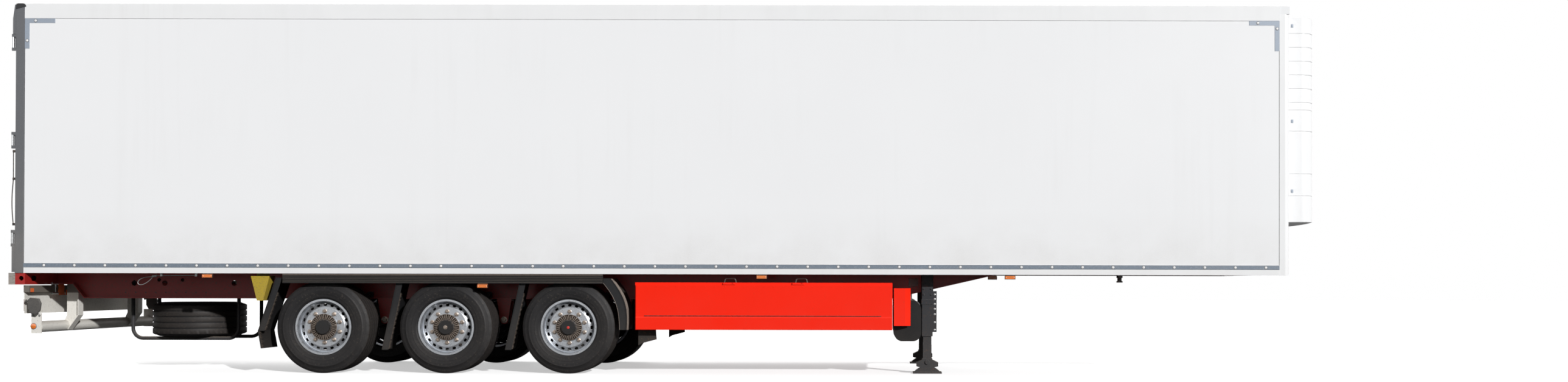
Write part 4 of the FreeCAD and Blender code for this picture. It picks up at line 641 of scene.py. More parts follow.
class Shape:
    """A mesh put together from turned, drawn and swept forms, all given in millimetres."""

    def __init__(self):
        self.mesh = bmesh.new()

    def join(self, rings, around=True, caps=True):
        """Skin from ring to ring. A ring of one point is a tip. around closes each ring."""
        rows = [[self.mesh.verts.new(point * MM) for point in ring] for ring in rings]
        for first, second in zip(rows, rows[1:]):
            count = max(len(first), len(second))
            for here in range(count if around else count - 1):
                there = (here + 1) % count
                if len(first) == 1:
                    corners = (first[0], second[there], second[here])
                elif len(second) == 1:
                    corners = (first[here], first[there], second[0])
                else:
                    corners = (first[here], first[there], second[there], second[here])
                self.mesh.faces.new(corners)
        if caps and around:
            for ring in (rows[0][::-1], rows[-1]):
                if len(ring) > 2:
                    self.mesh.faces.new(ring)

    def turned(self, outline, place, axis, sides=24, turn=0.0):
        """Revolve an outline of (along, radius) points about an axis through a place."""
        across, up = square_to(axis)
        rings = []
        for along, radius in outline:
            middle = place + axis * along
            count = sides if radius > 0 else 1
            rings.append([middle + (across * math.cos(angle) + up * math.sin(angle)) * radius
                          for angle in (turn + 2 * math.pi * k / sides for k in range(count))])
        self.join(rings)

    def rod(self, start, end, radius, sides=16, chamfer=1.5):
        """A round bar with small chamfers at its ends."""
        axis = end - start
        length = axis.length
        chamfer = min(chamfer, radius / 2, length / 4)
        outline = [(0, radius - chamfer), (chamfer, radius), (length - chamfer, radius),
                   (length, radius - chamfer)]
        self.turned(outline, start, axis.normalized(), sides)

    def box(self, low, high, chamfer=1.5):
        """A block with chamfered edges, between two opposite corners."""
        low, high = Vector(map(min, low, high)), Vector(map(max, low, high))
        chamfer = min(chamfer, *((high - low) / 3))
        middle, reach = (low + high) / 2, (high - low) / 2
        rings = []
        for level, inset in ((low.z, chamfer), (low.z + chamfer, 0), (high.z - chamfer, 0),
                             (high.z, chamfer)):
            first = (reach.x - inset - chamfer, reach.y - inset)
            second = (reach.x - inset, reach.y - inset - chamfer)
            rings.append([at(middle.x + sign_x * a, middle.y + sign_y * b, level)
                          for sign_x, sign_y in ((-1, -1), (1, -1), (1, 1), (-1, 1))
                          for a, b in ((first, second) if sign_x * sign_y < 0 else (second, first))])
        self.join(rings)

    def drawn(self, outline, axis, start, depth, chamfer=0.0):
        """Draw a flat outline out along X, Y or Z. Its points are in the other two axes, in order."""
        order = {"X": (1, 2, 0), "Y": (0, 2, 1), "Z": (0, 1, 2)}[axis]
        middle = sum((Vector(point) for point in outline), Vector((0, 0))) / len(outline)
        levels = [(start, 0.0), (start + depth, 0.0)]
        if chamfer:
            step = math.copysign(chamfer, depth)
            levels = [(start, chamfer), (start + step, 0.0), (start + depth - step, 0.0),
                      (start + depth, chamfer)]
        rings = []
        for level, inset in levels:
            ring = []
            for point in outline:
                offset = Vector(point) - middle
                reach = 1 - inset / max(offset.length, inset * 2) if inset else 1
                spot = [0.0, 0.0, 0.0]
                for way, value in zip(order, (*(middle + offset * reach), level)):
                    spot[way] = value
                ring.append(Vector(spot))
            rings.append(ring)
        self.join(rings)

    def swept(self, path, radius, sides=10, closed=False):
        """A round bar bent along a path of points."""
        rings = []
        count = len(path)
        normal = None
        for index, point in enumerate(path):
            before = path[index - 1] if index or closed else point
            after = path[(index + 1) % count] if index + 1 < count or closed else point
            along = (after - before).normalized()
            if normal is None:
                normal = square_to(along)[0]
            normal = (normal - along * normal.dot(along)).normalized()
            side = along.cross(normal)
            rings.append([point + (normal * math.cos(angle) + side * math.sin(angle)) * radius
                          for angle in (2 * math.pi * k / sides for k in range(sides))])
        if closed:
            rings.append(rings[0])
        self.join(rings, caps=not closed)

    def rivet(self, place, axis, radius, height, washer=0.0, sides=14):
        """A domed head, on a washer where it has one."""
        foot = height * 0.28 if washer else 0.0
        outline = [(0, washer), (foot * 0.7, washer), (foot, washer * 0.94)] if washer else []
        outline += [(foot + (height - foot) * up, radius * out) for up, out in DOME]
        self.turned(outline + [(height, 0)], place, axis, sides)

    def bolt(self, place, axis, across_flats, height, washer=0.0):
        """A hexagon head with a chamfered top, on a washer where it has one."""
        foot = height * 0.2 if washer else 0.0
        if washer:
            self.turned([(0, washer), (foot, washer), (foot, 0)], place, axis, 18)
        corner = across_flats / math.sqrt(3)
        self.turned([(foot, corner), (height * 0.86, corner), (height, corner * 0.86), (height, 0)],
                    place, axis, 6, turn=0.26)

    def data(self, name, material, smooth=32):
        """Finish the mesh and give it a material."""
        bmesh.ops.remove_doubles(self.mesh, verts=self.mesh.verts, dist=MERGE_DISTANCE)
        bmesh.ops.recalc_face_normals(self.mesh, faces=self.mesh.faces)
        data = bpy.data.meshes.new(name)
        self.mesh.to_mesh(data)
        self.mesh.free()
        data.materials.append(FINISHES[material])
        data.shade_smooth()
        data.set_sharp_from_angle(angle=math.radians(smooth))
        return data

    def made(self, name, body, slot, material, smooth=32):
        """Finish the mesh as a piece that rides on a body."""
        return piece(name, self.data(name, material, smooth), body)


def link(name, data):
    """An object in the scene."""
    thing = bpy.data.objects.new(name, data)
    bpy.context.scene.collection.objects.link(thing)
    return thing


def piece(name, data, body, place=(0, 0, 0), turn=(0, 0, 0)):
    """An object that rides on a body, with the finish its mesh holds."""
    thing = link(name, data)
    thing.location = place
    thing.rotation_euler = turn
    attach(thing, body)
    return thing


def shapes(count):
    """Several empty shapes."""
    return [Shape() for _ in range(count)]


def square_to(axis):
    """Two unit vectors square to an axis and to each other."""
    helper = Z_AXIS if abs(axis.z) < 0.9 else X_AXIS
    across = axis.cross(helper).normalized()
    return across, axis.cross(across).normalized()


def arc(middle, radius, start, end, steps):
    """Points round a flat arc, angles in degrees."""
    angles = [math.radians(start + (end - start) * k / steps) for k in range(steps + 1)]
    return [(middle[0] + radius * math.cos(a), middle[1] + radius * math.sin(a)) for a in angles]


def ring_angles(count, first=0.0):
    """Angles evenly round a circle. first is where the first lies, in steps."""
    return [2 * math.pi * (index + first) / count for index in range(count)]


# Wheels

TYRE_STEPS = 128
TREAD_HALF = 158
GROOVE_PLACES = (-97, -33, 33, 97)
GROOVE_HALF = 5
GROOVE_DEPTH = 11
SIPE_DEPTH = 4.5
SHOULDER = (468, 490.5)
DISC_FACE = 120
HUB_FACE = DISC_FACE + 30
CAP_FACE = DISC_FACE + 64
NUT_COUNT = 10
NUT_CIRCLE = 167.5
NUT_CORNER = 32 / math.sqrt(3)
HUB_RIBS = 18
HUB_RIB_STATIONS = ((84, 4, 2), (90, 5, 7), (124, 7, 7), (134, 8, 3), (138, 8, 0))
CAP_BOLTS = 6


def tyre_outline():
    """Points of (along, radius, kind) from the inner bead over the tread to the outer one."""
    half, top = TYRE_HALF, WHEEL_RADIUS
    floor = top - GROOVE_DEPTH
    wall = [(150, 286), (150, 297), (157, 300), (166, 304), (173, 312), (176, 318), (180.5, 319.5),
            (181.5, 324), (182.5, 340), (187, 356), (188.5, 357), (188.7, 362), (187.5, 363),
            (half - 1, 384), (half, 400), (half - 1.5, 416), (half - 1, 417.5), (half - 1.5, 422),
            (half - 4, 424), (half - 9, 440), (half - 12, 441), (half - 17, 456), (174, 462),
            (172, 470), (167, 478), (163, 486), (161, 490)]
    tread = [(-TREAD_HALF, top, "crown")]
    for middle in GROOVE_PLACES:
        near, far = middle - GROOVE_HALF, middle + GROOVE_HALF
        tread += [(near - 9, top, "crown"), (near, top, "sipe"), (near + 1.5, floor, "floor"),
                  (far - 1.5, floor, "floor"), (far, top, "sipe"), (far + 9, top, "crown")]
    tread.append((TREAD_HALF, top, "crown"))
    left = [(-along, radius, "wall") for along, radius in wall]
    return left + tread + [(along, radius, "wall") for along, radius in reversed(wall)]


def tyre_mesh():
    """One tyre about the origin, its axle along Y."""
    shape = Shape()
    rings = []
    for along, radius, kind in tyre_outline():
        ring = []
        for step, angle in enumerate(ring_angles(TYRE_STEPS)):
            groove = kind == "wall" and SHOULDER[0] < radius < SHOULDER[1] and step % 4 == 0
            cut = SIPE_DEPTH if groove or (kind == "sipe" and step % 2) else 0
            ring.append(at((radius - cut) * math.cos(angle), along, (radius - cut) * math.sin(angle)))
        rings.append(ring)
    shape.join(rings + rings[:1], caps=False)
    return shape


def tyres():
    """Detailed tyres on the six wheels and the spare one, all sharing one mesh."""
    data = tyre_mesh().data("tyre_detail", "tyre_rubber", 38)
    places = [(f"tyre_{row}_{side}", f"wheel_{row}_{side}", 0) for row in ROWS for side in SIDES]
    for node, body, lean in places + [("spare_tyre", "root", math.pi / 2)]:
        low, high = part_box(node)
        thing = piece(f"{node}_detail", data, body, (low + high) / 2, (lean, 0, 0))
        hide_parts(node)


def wheel_trim():
    """Nuts with their studs, the ribbed hub ring, its bolts and cap, and the valve, on each wheel."""
    for row, side in ((row, side) for row in ROWS for side in SIDES):
        middle = wheel_centre(row, side)
        axis = Y_AXIS * SIDES[side]
        face = middle + axis * HUB_FACE
        body = f"wheel_{row}_{side}"
        nuts, hub, cap, valve = shapes(4)

        def lie(angle):
            return at(math.cos(angle), 0, math.sin(angle))

        for angle in ring_angles(NUT_COUNT, 0.5):
            base = middle + lie(angle) * NUT_CIRCLE + axis * DISC_FACE
            nuts.turned([(0, 23), (3, 23), (5, 19)], base, axis, 18)
            nuts.turned([(4, NUT_CORNER), (22, NUT_CORNER), (26, NUT_CORNER * 0.84), (26, 11),
                         (33, 11), (35, 9), (35, 0)], base, axis, 6, turn=angle)
        nuts.made(f"wheel_nuts_{row}_{side}", body, "zinc_steel", "nut_steel")

        for angle in ring_angles(HUB_RIBS, 0.5):
            across = axis.cross(lie(angle))
            rings = []
            for radius, half, rise in HUB_RIB_STATIONS:
                foot = face + lie(angle) * radius
                rings.append([foot + across * reach + axis * up for reach, up in
                              ((-half, -1), (1 - half, rise), (half - 1, rise), (half, -1))])
            hub.join(rings)
        hub.turned([(-4, 140.5), (1.5, 140.5), (2.5, 136), (0, 134)], face, axis, 60)
        hub.made(f"hub_ribs_{row}_{side}", body, "under_black", "dusty_iron")

        for angle in ring_angles(CAP_BOLTS, 0.25):
            cap.bolt(face + lie(angle) * 78, axis, 10, 7, 8)
        cap.turned([(0, 84), (4, 84), (5, 82), (5, 73)], face, axis, 48)
        cap.made(f"hub_cap_ring_{row}_{side}", body, "under_black", "hub_black")

        foot = middle + lie(2.1) * 262 + axis * 82
        valve.rod(foot, foot + axis * 46, 4.5, 10)
        valve.rod(foot + axis * 46, foot + axis * 55, 6, 10)
        valve.made(f"valve_{row}_{side}", body, "zinc_steel", "bright_chrome")


def hub_marks():
    """What sits in the middle of the hub caps: a nut on the middle axle, a red dot on the front one."""
    for side, sign in SIDES.items():
        out = Y_AXIS * sign
        nut, dot = shapes(2)
        nut.bolt(wheel_centre("middle", side) + out * CAP_FACE, out, 30, 12, 22)
        dot.turned([(0, 15), (1.5, 15), (3, 12), (3, 0)], wheel_centre("front", side) + out * CAP_FACE, out)
        nut.made(f"hub_nut_{side}", f"wheel_middle_{side}", "under_black", "nut_steel")
        dot.made(f"hub_dot_{side}", f"wheel_front_{side}", "under_black", "cap_red")


# Added pieces on the body and its doors

RAIL_RIVETS = 41
RAIL_FIRST = 309
RAIL_PITCH = 323.9
RIVET_HEAD = 13.5
HINGE_LEVELS = (1430, 2470, 3510)
BUFFER_LEVELS = (1700, 3300)
STAY_LEVELS = (2352, 2060, 1578)


def blind_rivet(heads, rings, place, axis):
    """A rivet head with its hollow middle, in a flat dark ring that is painted shade of its countersink."""
    size = RIVET_HEAD
    heads.turned([(0, size), (3, size * 0.94), (5, size * 0.66), (5.4, size * 0.34),
                  (2.5, size * 0.28), (2.5, 0)], place, axis, 16)
    # Painted shade: the flat dark ring stands for the shade in the countersink round the head.
    rings.turned([(0, size * 1.36), (0.8, size * 1.36), (0.8, size * 0.9)], place, axis, 20)


def body_rivets():
    """Rivets along the rub rails and on the corner plates."""
    heads, rings = shapes(2)
    level = (RAIL_LOW.z + RAIL_HIGH.z) / 2
    plate_low, plate_high = box_of("corner_plates")
    inset = 24
    top = plate_high.z - inset
    spots = [(TAIL + RAIL_FIRST + index * RAIL_PITCH, RAIL_HIGH.y, level) for index in range(RAIL_RIVETS)]
    spots += [(along, plate_high.y, up) for along, up in (
        (plate_low.x + 113, top), (plate_low.x + inset, top - 212), (plate_high.x - 228, top),
        (plate_high.x - inset, top - 60))]
    for sign in SIDES.values():
        for along, across, up in spots:
            blind_rivet(heads, rings, at(along, across * sign, up), Y_AXIS * sign)
    heads.made("rail_rivets", "root", "rub_rail", "edge_profile")
    # The dark rings are painted shade round each rivet head.
    rings.made("rail_rivet_shade_rings", "root", "rub_rail", "frame_grey")


def body_seams():
    """Sealed joints at the ends of the side walls, and the rubber caps of the rear top corners."""
    seams, caps = shapes(2)
    post = box_of("front_corner_posts")[0].x
    roof = box_of("roof")[1].z
    for sign in SIDES.values():
        for start, end in ((post - 3, post + 2), (TAIL + 88, TAIL + 92)):
            seams.box((start, (SIDE - 2) * sign, RAIL_HIGH.z), (end, (SIDE + 0.6) * sign, roof - 4), 0.2)
        outline = [(TAIL - 4, roof - 60), (TAIL + 104, roof - 30)]
        outline += arc((TAIL + 70, roof - 30), 34, 0, 90, 5)
        outline += arc((TAIL + 24, roof - 24), 28, 90, 180, 5)
        caps.drawn(outline, "Y", 1230 * sign, 73 * sign, 3)
    seams.made("body_seams", "root", "edge_profile", "seal_black")
    caps.made("roof_corner_caps", "root", "frame_grey", "seal_black")


def door_edges():
    """Rubber lips, hinge bolts and buffers of each door."""
    for side, sign in SIDES.items():
        body = f"door_{side}"
        low, high = box_of(body)
        face = low.x
        outer, inner = max(abs(low.y), abs(high.y)), min(abs(low.y), abs(high.y))
        lips, bolts, buffers = shapes(3)
        for first, last in (((outer, low.z), (outer - 16, high.z)), ((inner, low.z), (inner + 16, high.z)),
                            ((outer - 16, low.z), (inner + 16, low.z + 16)),
                            ((outer - 16, high.z), (inner + 16, high.z - 16))):
            lips.box((face - 3, first[0] * sign, first[1]), (face + 2, last[0] * sign, last[1]))
        if side == "right":
            lips.box((face + 5, 2 - inner, low.z + 5), (face + 40, 21 - inner, high.z - 5), 4)
        lips.made(f"door_lips_{side}", body, "door_white", "seal_black")
        for level in HINGE_LEVELS:
            for across in (42, 108):
                for up in (-50, 0, 50):
                    bolts.bolt(at(face - 12, (outer - across) * sign, level + up), -X_AXIS, 17, 8, 13)
        bolts.made(f"hinge_bolts_{side}", body, "zinc_steel", "zinc_steel")
        for level in BUFFER_LEVELS:
            buffers.turned([(0, 24), (4, 24), (6, 19), (19, 17), (22, 13), (22, 0)],
                           at(face, (outer - 90) * sign, level), -X_AXIS)
        buffers.made(f"door_buffers_{side}", body, "door_white", "seal_black")


def hinge_side_rods():
    """The thin black stay with its three brackets down each rear corner."""
    back = TAIL - 26
    for side, sign in SIDES.items():
        rods = Shape()
        across = 1288 * sign
        for level in STAY_LEVELS:
            rods.box((TAIL + 2, across - 9, level - 13), (back - 6, across + 9, level + 13), 2)
        path = [at(back, across, 2350)]
        for step in range(13):
            share = step / 12
            path.append(at(back - math.sin(math.pi * share) * 14, across, 2060 - 482 * share))
        rods.swept(path, 5)
        rods.made(f"door_stay_{side}", "root", "frame_grey", "hub_black")


def tail_lights():
    """Round lenses in the tail lamps, reflectors, a bare number plate and its lamps."""
    low, high = box_of("tail_lamps")
    height = (low.z + high.z) / 2
    face = low.x + 40
    reds, ambers, clears, rims, board = shapes(5)
    housing = [(120, 775), (145, 800), (235, 790), (258, 740), (248, 662), (210, 622), (150, 632),
               (122, 680)]
    for sign in SIDES.values():
        for index, kind in enumerate((ambers, reds, clears)):
            spot = at(low.x, (high.y - 72 - 136 * index) * sign, height)
            kind.turned([(-2, 53), (4, 53), (8, 47), (10, 30), (10.5, 0)], spot, -X_AXIS, 40)
            rims.turned([(-1, 60), (6, 60), (8, 57), (6, 53.5), (-1, 53.5)], spot, -X_AXIS, 40)
        for reach, shape, depth in ((78, rims, 5), (69, reds, 8)):
            across, up = 330 * sign, 720
            outline = [(across - reach, up - reach * 0.577), (across + reach, up - reach * 0.577),
                       (across, up + reach * 1.155)]
            shape.drawn(outline, "X", face - depth, depth, 1)
        rims.drawn([(TAIL + along, up) for along, up in housing], "Y", 1241 * sign, 28 * sign, 5)
        end = at(TAIL + 122, 1258 * sign, 762)
        rims.rod(end, end - X_AXIS * 16, 9)
        rims.turned([(14, 16), (18, 19), (26, 19)], end, -X_AXIS, 20)
        reds.turned([(26, 17), (30, 13), (31, 0)], end, -X_AXIS, 20)
    board.box((face - 4, -260, 655), (face, 260, 765), 1)
    board.made("number_plate", "root", "bumper_white", "roof_white")
    for across in (-130, 130):
        rims.box((face - 34, across - 35, 772), (face, across + 35, 800), 4)
        clears.box((face - 30, across - 28, 769), (face - 6, across + 28, 773), 1)
    reds.made("lamp_lenses_red", "root", "lamp_red", "lamp_red")
    ambers.made("lamp_lenses_amber", "root", "lamp_amber", "lamp_amber")
    clears.made("lamp_lenses_clear", "root", "lamp_amber", "lens_clear")
    rims.made("lamp_rims", "root", "lamp_red", "grille_black")


def lashing():
    """The strap round the light bar with its loose ends, and its buckle."""
    front, back = TAIL + 122, TAIL + 62
    strap, buckle = shapes(2)
    for low, high, end in ((851, 934, back - 0.5), (930.5, 934, front + 4), (851, 854.5, front + 4)):
        strap.box((back - 4, -590, low), (end, -710, high), 1)
    rings = []
    for across, up, out in ((590, 940, 5), (580, 905, 8), (590, 870, 7), (575, 840, 6), (568, 822, 5)):
        rings.append([at(front + out + thick, -across - wide, up)
                      for thick, wide in ((0, 0), (3, 0), (3, 120), (0, 120))])
    strap.join(rings)
    strap.box((front + 2, -505, 822), (front + 5, -548, 880), 1)
    strap.box((front + 2, -1160, 858), (front + 5, -1222, 900), 1)
    for up in (948, 842):
        buckle.rod(at(front + 12, -722, up), at(front + 12, -840, up), 13, 18)
    buckle.box((front + 1, -735, 850), (front + 7, -752, 944), 1)
    strap.made("lashing_strap", "root", "beam_grey", "strap_orange")
    buckle.made("lashing_buckle", "root", "zinc_steel", "bright_chrome")


def bumper_fittings():
    """Reflectors and bolts on the ends of the underrun bumper."""
    lens, rims = shapes(2)
    end = box_of("underrun_bumper")[1].y
    for sign in SIDES.values():
        out = Y_AXIS * sign
        spot = at(TAIL + 148, end * sign, 495)
        rims.turned([(0, 33), (6, 33), (8, 30)], spot, out, 32)
        lens.turned([(0, 28), (9, 28), (12, 22), (13, 0)], spot, out, 32)
        for along in (142, 208):
            rims.bolt(at(TAIL + along, end * sign, 608), out, 17, 8, 13)
    lens.made("bumper_reflectors", "root", "lamp_amber", "lamp_amber")
    rims.made("bumper_fittings", "root", "bumper_white", "frame_grey")


def pull_rods():
    """The rod with its drop-shaped loop behind the rear wheel of each side."""
    pull = Shape()
    for sign in SIDES.values():
        across = 1180 * sign
        ring = []
        for angle in ring_angles(28):
            reach = 86 * math.cos(angle)
            rise = 42 * math.sin(angle) * math.sin(angle / 2)
            ring.append(at(-5612 + 0.92 * reach - 0.4 * rise, across, 988 + 0.4 * reach + 0.92 * rise))
        pull.swept(ring, 4, 8, closed=True)
        pull.rod(at(-5540, across, 1030), at(-5490, across, 1034), 13)
        pull.rod(at(-5490, across, 1036), at(-5050, across, 1040), 4.5, 10)
        for along in (-5440, -5070):
            pull.box((along - 12, across - 9, 1028), (along + 12, across + 9, BODY_BOTTOM))
    pull.made("bogie_pull_rods", "root", "zinc_steel", "zinc_steel")


def rail_hole_shades():
    """The row of small holes in the rear of each rail, as thin dark discs of painted shade."""
    holes = Shape()
    # Painted shade: each hole is a thin dark disc on the rail, standing for the shade seen through it.
    for index in range(9):
        for sign in SIDES.values():
            holes.turned([(0, 7), (0.6, 7), (0.6, 0)], at(-6093 + 110.8 * index, 655.2 * sign, 853),
                         Y_AXIS * sign, 14)
    holes.made("rail_hole_shade_discs", "root", "chassis_red", "hub_black")


def marker_bezels():
    """Dark surrounds and screws of the side marker lamps."""
    bezels, screws = shapes(2)
    outer = box_of("side_markers")[1].y
    for place, top in ((2034, BODY_BOTTOM), (4955, 960), (7918, BODY_BOTTOM), (10555, BODY_BOTTOM)):
        low, high = top - 44, top - 12
        along = TAIL + place
        for sign in SIDES.values():
            for first, last in (((-57, low - 4), (57, low)), ((-57, high), (57, high + 4)),
                                ((-57, low), (-52, high)), ((52, low), (57, high))):
                bezels.box((along + first[0], (outer - 22) * sign, first[1]),
                           (along + last[0], (outer - 5) * sign, last[1]), 1)
            for reach in (-43, 43):
                screws.rivet(at(along + reach, outer * sign, (low + high) / 2), Y_AXIS * sign, 4.5, 2.2,
                             sides=12)
    bezels.made("marker_bezels", "root", "lamp_amber", "hub_black")
    screws.made("marker_screws", "root", "lamp_amber", "zinc_steel")


# Added pieces on the chassis

FLAP_RIVETS = 27
FLAP_EDGE = 1237
CURVED_FLAP_RADIUS = 640
CURVED_FLAP_STEPS = 8
BRISTLE_FIRST = 160
BRISTLE_PITCH = 8.5
WORN_FROM_SHARE = 0.755
LEG_PLACE = TAIL + 9686
LEG_FACE = 1027.5


def pallet_box_trim():
    """Rivets and a painted shadow line along the step of each flap, the grips above the box and its bracket
    plates.
    """
    for side, sign in SIDES.items():
        body = f"pallet_flap_{side}"
        low, high = box_of(body)
        face = max(abs(low.y), abs(high.y))
        upper = face - 6
        spots = []
        for index in range(FLAP_RIVETS):
            along = low.x + 14 + (high.x - low.x - 28) * index / (FLAP_RIVETS - 1)
            spots += [(along, upper, high.z - 32), (along, face, low.z + 12)]
        for index in range(1, 5):
            up = low.z + 12 + (high.z - 44 - low.z) * index / 5
            spots += [(along, face if up < 600 else upper, up) for along in (low.x + 14, high.x - 14)]
        rivets, shadow_strip = shapes(2)
        for along, across, up in spots:
            rivets.rivet(at(along, across * sign, up), Y_AXIS * sign, 4, 2.5, sides=10)
        rivets.made(f"flap_rivets_{side}", body, "box_orange", "box_orange")
        # Painted shadow: a thin dark strip along the step of the flap stands for the shadow line under it.
        shadow_strip.box((low.x + 90, (upper - 1) * sign, 618), (high.x - 110, (face + 0.6) * sign, 623.5), 0.3)
        shadow_strip.made(f"flap_shadow_strip_{side}", body, "box_orange", "hub_black")
    grips, plates = shapes(2)
    top = box_of("pallet_box")[1].z
    for sign in SIDES.values():
        for along in (637, 1397):
            grips.swept([at(along + reach, 1195 * sign, top + up) for reach, up in
                         ((-62, 0), (-55, 32), (-42, 43), (42, 43), (55, 32), (62, 0))], 6)
        plates.drawn([(-355, 474), (-165, 474), (-158, 365), (-310, 325), (-355, 300)], "Y",
                     1120 * sign, 6 * sign, 1)
    grips.made("box_grips", "root", "box_orange", "grille_black")
    plates.made("box_brackets", "root", "under_black", "under_black")


def flap_profiles():
    """The side view of the four mud flaps of a side, as lines of points, the curved one last."""
    rear, middle, front = (wheel_centre(row, "right").x for row in ROWS)
    lines = [[(rear - 488, 1012), (rear - 675, 452), (rear - 642, 265)]]
    lines += [[(axle - 505, 1012), (axle - 665, 254)] for axle in (middle, front)]
    start, end = Vector((front + 622, 469)), Vector((front + 455, 1012))
    along = (end - start).normalized()
    half = (end - start).length / 2
    bulge = CURVED_FLAP_RADIUS - math.sqrt(CURVED_FLAP_RADIUS ** 2 - half ** 2)
    curved = []
    for step in range(CURVED_FLAP_STEPS + 1):
        share = step / CURVED_FLAP_STEPS
        reach = math.sin(math.pi * share) * bulge
        curved.append(start.lerp(end, 1 - share) + Vector((along.y, -along.x)) * reach)
    return [[Vector(point) for point in line] for line in lines] + [curved]


def spot_on(line, share):
    """The place at a share of the way along a line of points."""
    lengths = [(second - first).length for first, second in zip(line, line[1:])]
    left = share * sum(lengths)
    for first, second, length in zip(line, line[1:], lengths):
        if left <= length:
            return first.lerp(second, left / length)
        left -= length
    return line[-1]


def flap_bristles():
    """Side edges of the mud flaps, worn bristles on the rear three, long ribs on the curved one."""
    for side, sign in SIDES.items():
        edges, bristles, ribs = shapes(3)
        *worn, curved = flap_profiles()
        for index, points in enumerate(worn):
            inner = [point + Vector((68, 0)) for point in points]
            edges.drawn([*points[:2], inner[1], inner[0]], "Y", FLAP_EDGE * sign, -4 * sign)
            travel = BRISTLE_FIRST
            whole = (points[-1] - points[0]).length
            while travel < whole - 4:
                share = travel / whole
                foot = inner[0].lerp(inner[-1], share) if index else spot_on(inner, share)
                if index == 0 and share > WORN_FROM_SHARE:
                    foot = foot - Vector((58, 0))
                size = 6 + 9 * abs(math.sin(travel * 0.4317))
                width = 16 + 20 * abs(math.sin(travel * 0.1733))
                bristles.drawn([(foot.x - 14, foot.y - 4), (foot.x + size, foot.y - 1),
                                (foot.x - 14, foot.y + 5)], "Y", 1232 * sign, -width * sign)
                travel += BRISTLE_PITCH
        inner = [point - Vector((116 - 46 * step / CURVED_FLAP_STEPS, 0))
                 for step, point in enumerate(curved)]
        for step in range(CURVED_FLAP_STEPS):
            edges.drawn([curved[step], curved[step + 1], inner[step + 1], inner[step]], "Y",
                        FLAP_EDGE * sign, -4 * sign)
        for across in (1233, 1196, 1160, 1128):
            ribs.swept([at(point.x + 9, across * sign, point.y) for point in curved], 4.5, 8)
        ribs.swept([at(point.x, 1236 * sign, point.y) for point in inner], 3, 6)
        edges.made(f"flap_edges_{side}", "root", "flap_rubber", "bristle_black", 20)
        bristles.made(f"flap_bristles_{side}", "root", "flap_rubber", "dusty_iron", 20)
        ribs.made(f"flap_ribs_{side}", "root", "flap_rubber", "dusty_iron", 40)


def mudguard_trim():
    """The dusty joint strip along the top of each skirt."""
    strip = Shape()
    face = box_of("mudguards")[1].y
    for sign in SIDES.values():
        strip.box((TAIL + 2830, (face - 2) * sign, BODY_BOTTOM - 14),
                  (TAIL + 6230, (face + 2.5) * sign, BODY_BOTTOM - 2), 1)
    strip.made("skirt_strips", "root", "mudguard_black", "dusty_iron")


def landing_trim():
    """Studs and bolts on the legs, the gearboxes with the crank, and the shaft between the legs."""
    studs, bolts, gear = shapes(3)
    for sign in SIDES.values():
        out = Y_AXIS * sign
        for up in (850, 800, 747, 694, 637, 550, 470):
            studs.rivet(at(LEG_PLACE + 78.5, LEG_FACE * sign, up), out, 8, 4, 11)
        for along in (-40, 40):
            for up in (850, 910, 970):
                bolts.bolt(at(LEG_PLACE + along, LEG_FACE * sign, up), out, 17, 9)
        gear.box((LEG_PLACE - 62, 868 * sign, 860), (LEG_PLACE + 62, 913 * sign, 1000), 5)
    gear.rod(at(LEG_PLACE, -870, 930), at(LEG_PLACE, 870, 930), 14)
    crank = [at(LEG_PLACE + along, LEG_FACE + out, up) for along, out, up in (
        (0, -2, 930), (0, 62, 930), (8, 70, 920), (60, 72, 660), (64, 80, 648), (64, 190, 646))]
    gear.swept(crank, 10, 12)
    gear.rod(crank[-2] + Y_AXIS * 12, crank[-1] + Y_AXIS * 6, 15)
    studs.made("leg_studs", "root", "leg_grey", "zinc_steel")
    bolts.made("leg_bolts", "root", "leg_grey", "leg_grey")
    gear.made("leg_gear", "root", "leg_grey", "leg_grey")


def axle_trim():
    """Axle clamps, dampers, pivot nuts, brake shields and brake hoses on the three axles."""
    clamps, dampers, hoses, chrome, shields = shapes(5)
    for row, sign in ((row, sign) for row in ROWS for sign in SIDES.values()):
        centre = wheel_centre(row, "right")
        x, out = centre.x, Y_AXIS * sign
        for y in (618 * sign, 682 * sign):
            bend = [at(x - 76 * math.cos(a), y, centre.z - 76 * math.sin(a))
                    for a in (math.pi * k / 8 for k in range(9))]
            clamps.swept([bend[0] + Z_AXIS * 135, *bend, bend[-1] + Z_AXIS * 135], 8)
            for along in (-76, 76):
                clamps.bolt(at(x + along, y, centre.z + 122), Z_AXIS, 24, 18, 16)
        low, high = at(x + 105, 748 * sign, 430), at(x + 335, 742 * sign, 835)
        for start, end, radius in ((0.06, 0.55, 27), (0.42, 0.93, 33)):
            dampers.rod(low.lerp(high, start), low.lerp(high, end), radius, 20)
        for eye in (low, high):
            dampers.rod(eye - out * 30, eye + out * 30, 21, 18)
        dampers.box((high.x - 30, 690 * sign, high.z - 45), (high.x + 30, 712 * sign, high.z + 30), 3)
        dampers.box((x + 30, 712 * sign, low.z - 26), (low.x + 24, 728 * sign, low.z + 30), 3)
        shields.turned([(0, 249), (4, 249), (4, 120), (0, 120), (0, 249)], at(x, 1005 * sign, centre.z),
                       out, 48)
        chrome.bolt(at(x + 500, 716 * sign, 560), out, 46, 28, 36)
        hoses.swept([at(x + along, across * sign, up) for along, across, up in (
            (-50, 640, 730), (-20, 560, 800), (60, 520, 840), (200, 560, 930), (220, 640, 970))], 8, 8)
    clamps.made("axle_clamps", "root", "under_black", "dusty_iron")
    shields.made("brake_shields", "root", "under_black", "under_black")
    dampers.made("axle_dampers", "root", "under_black", "under_black")
    chrome.made("pivot_nuts", "root", "under_black", "nut_steel")
    hoses.made("brake_hoses", "root", "spring_rubber", "spring_rubber")


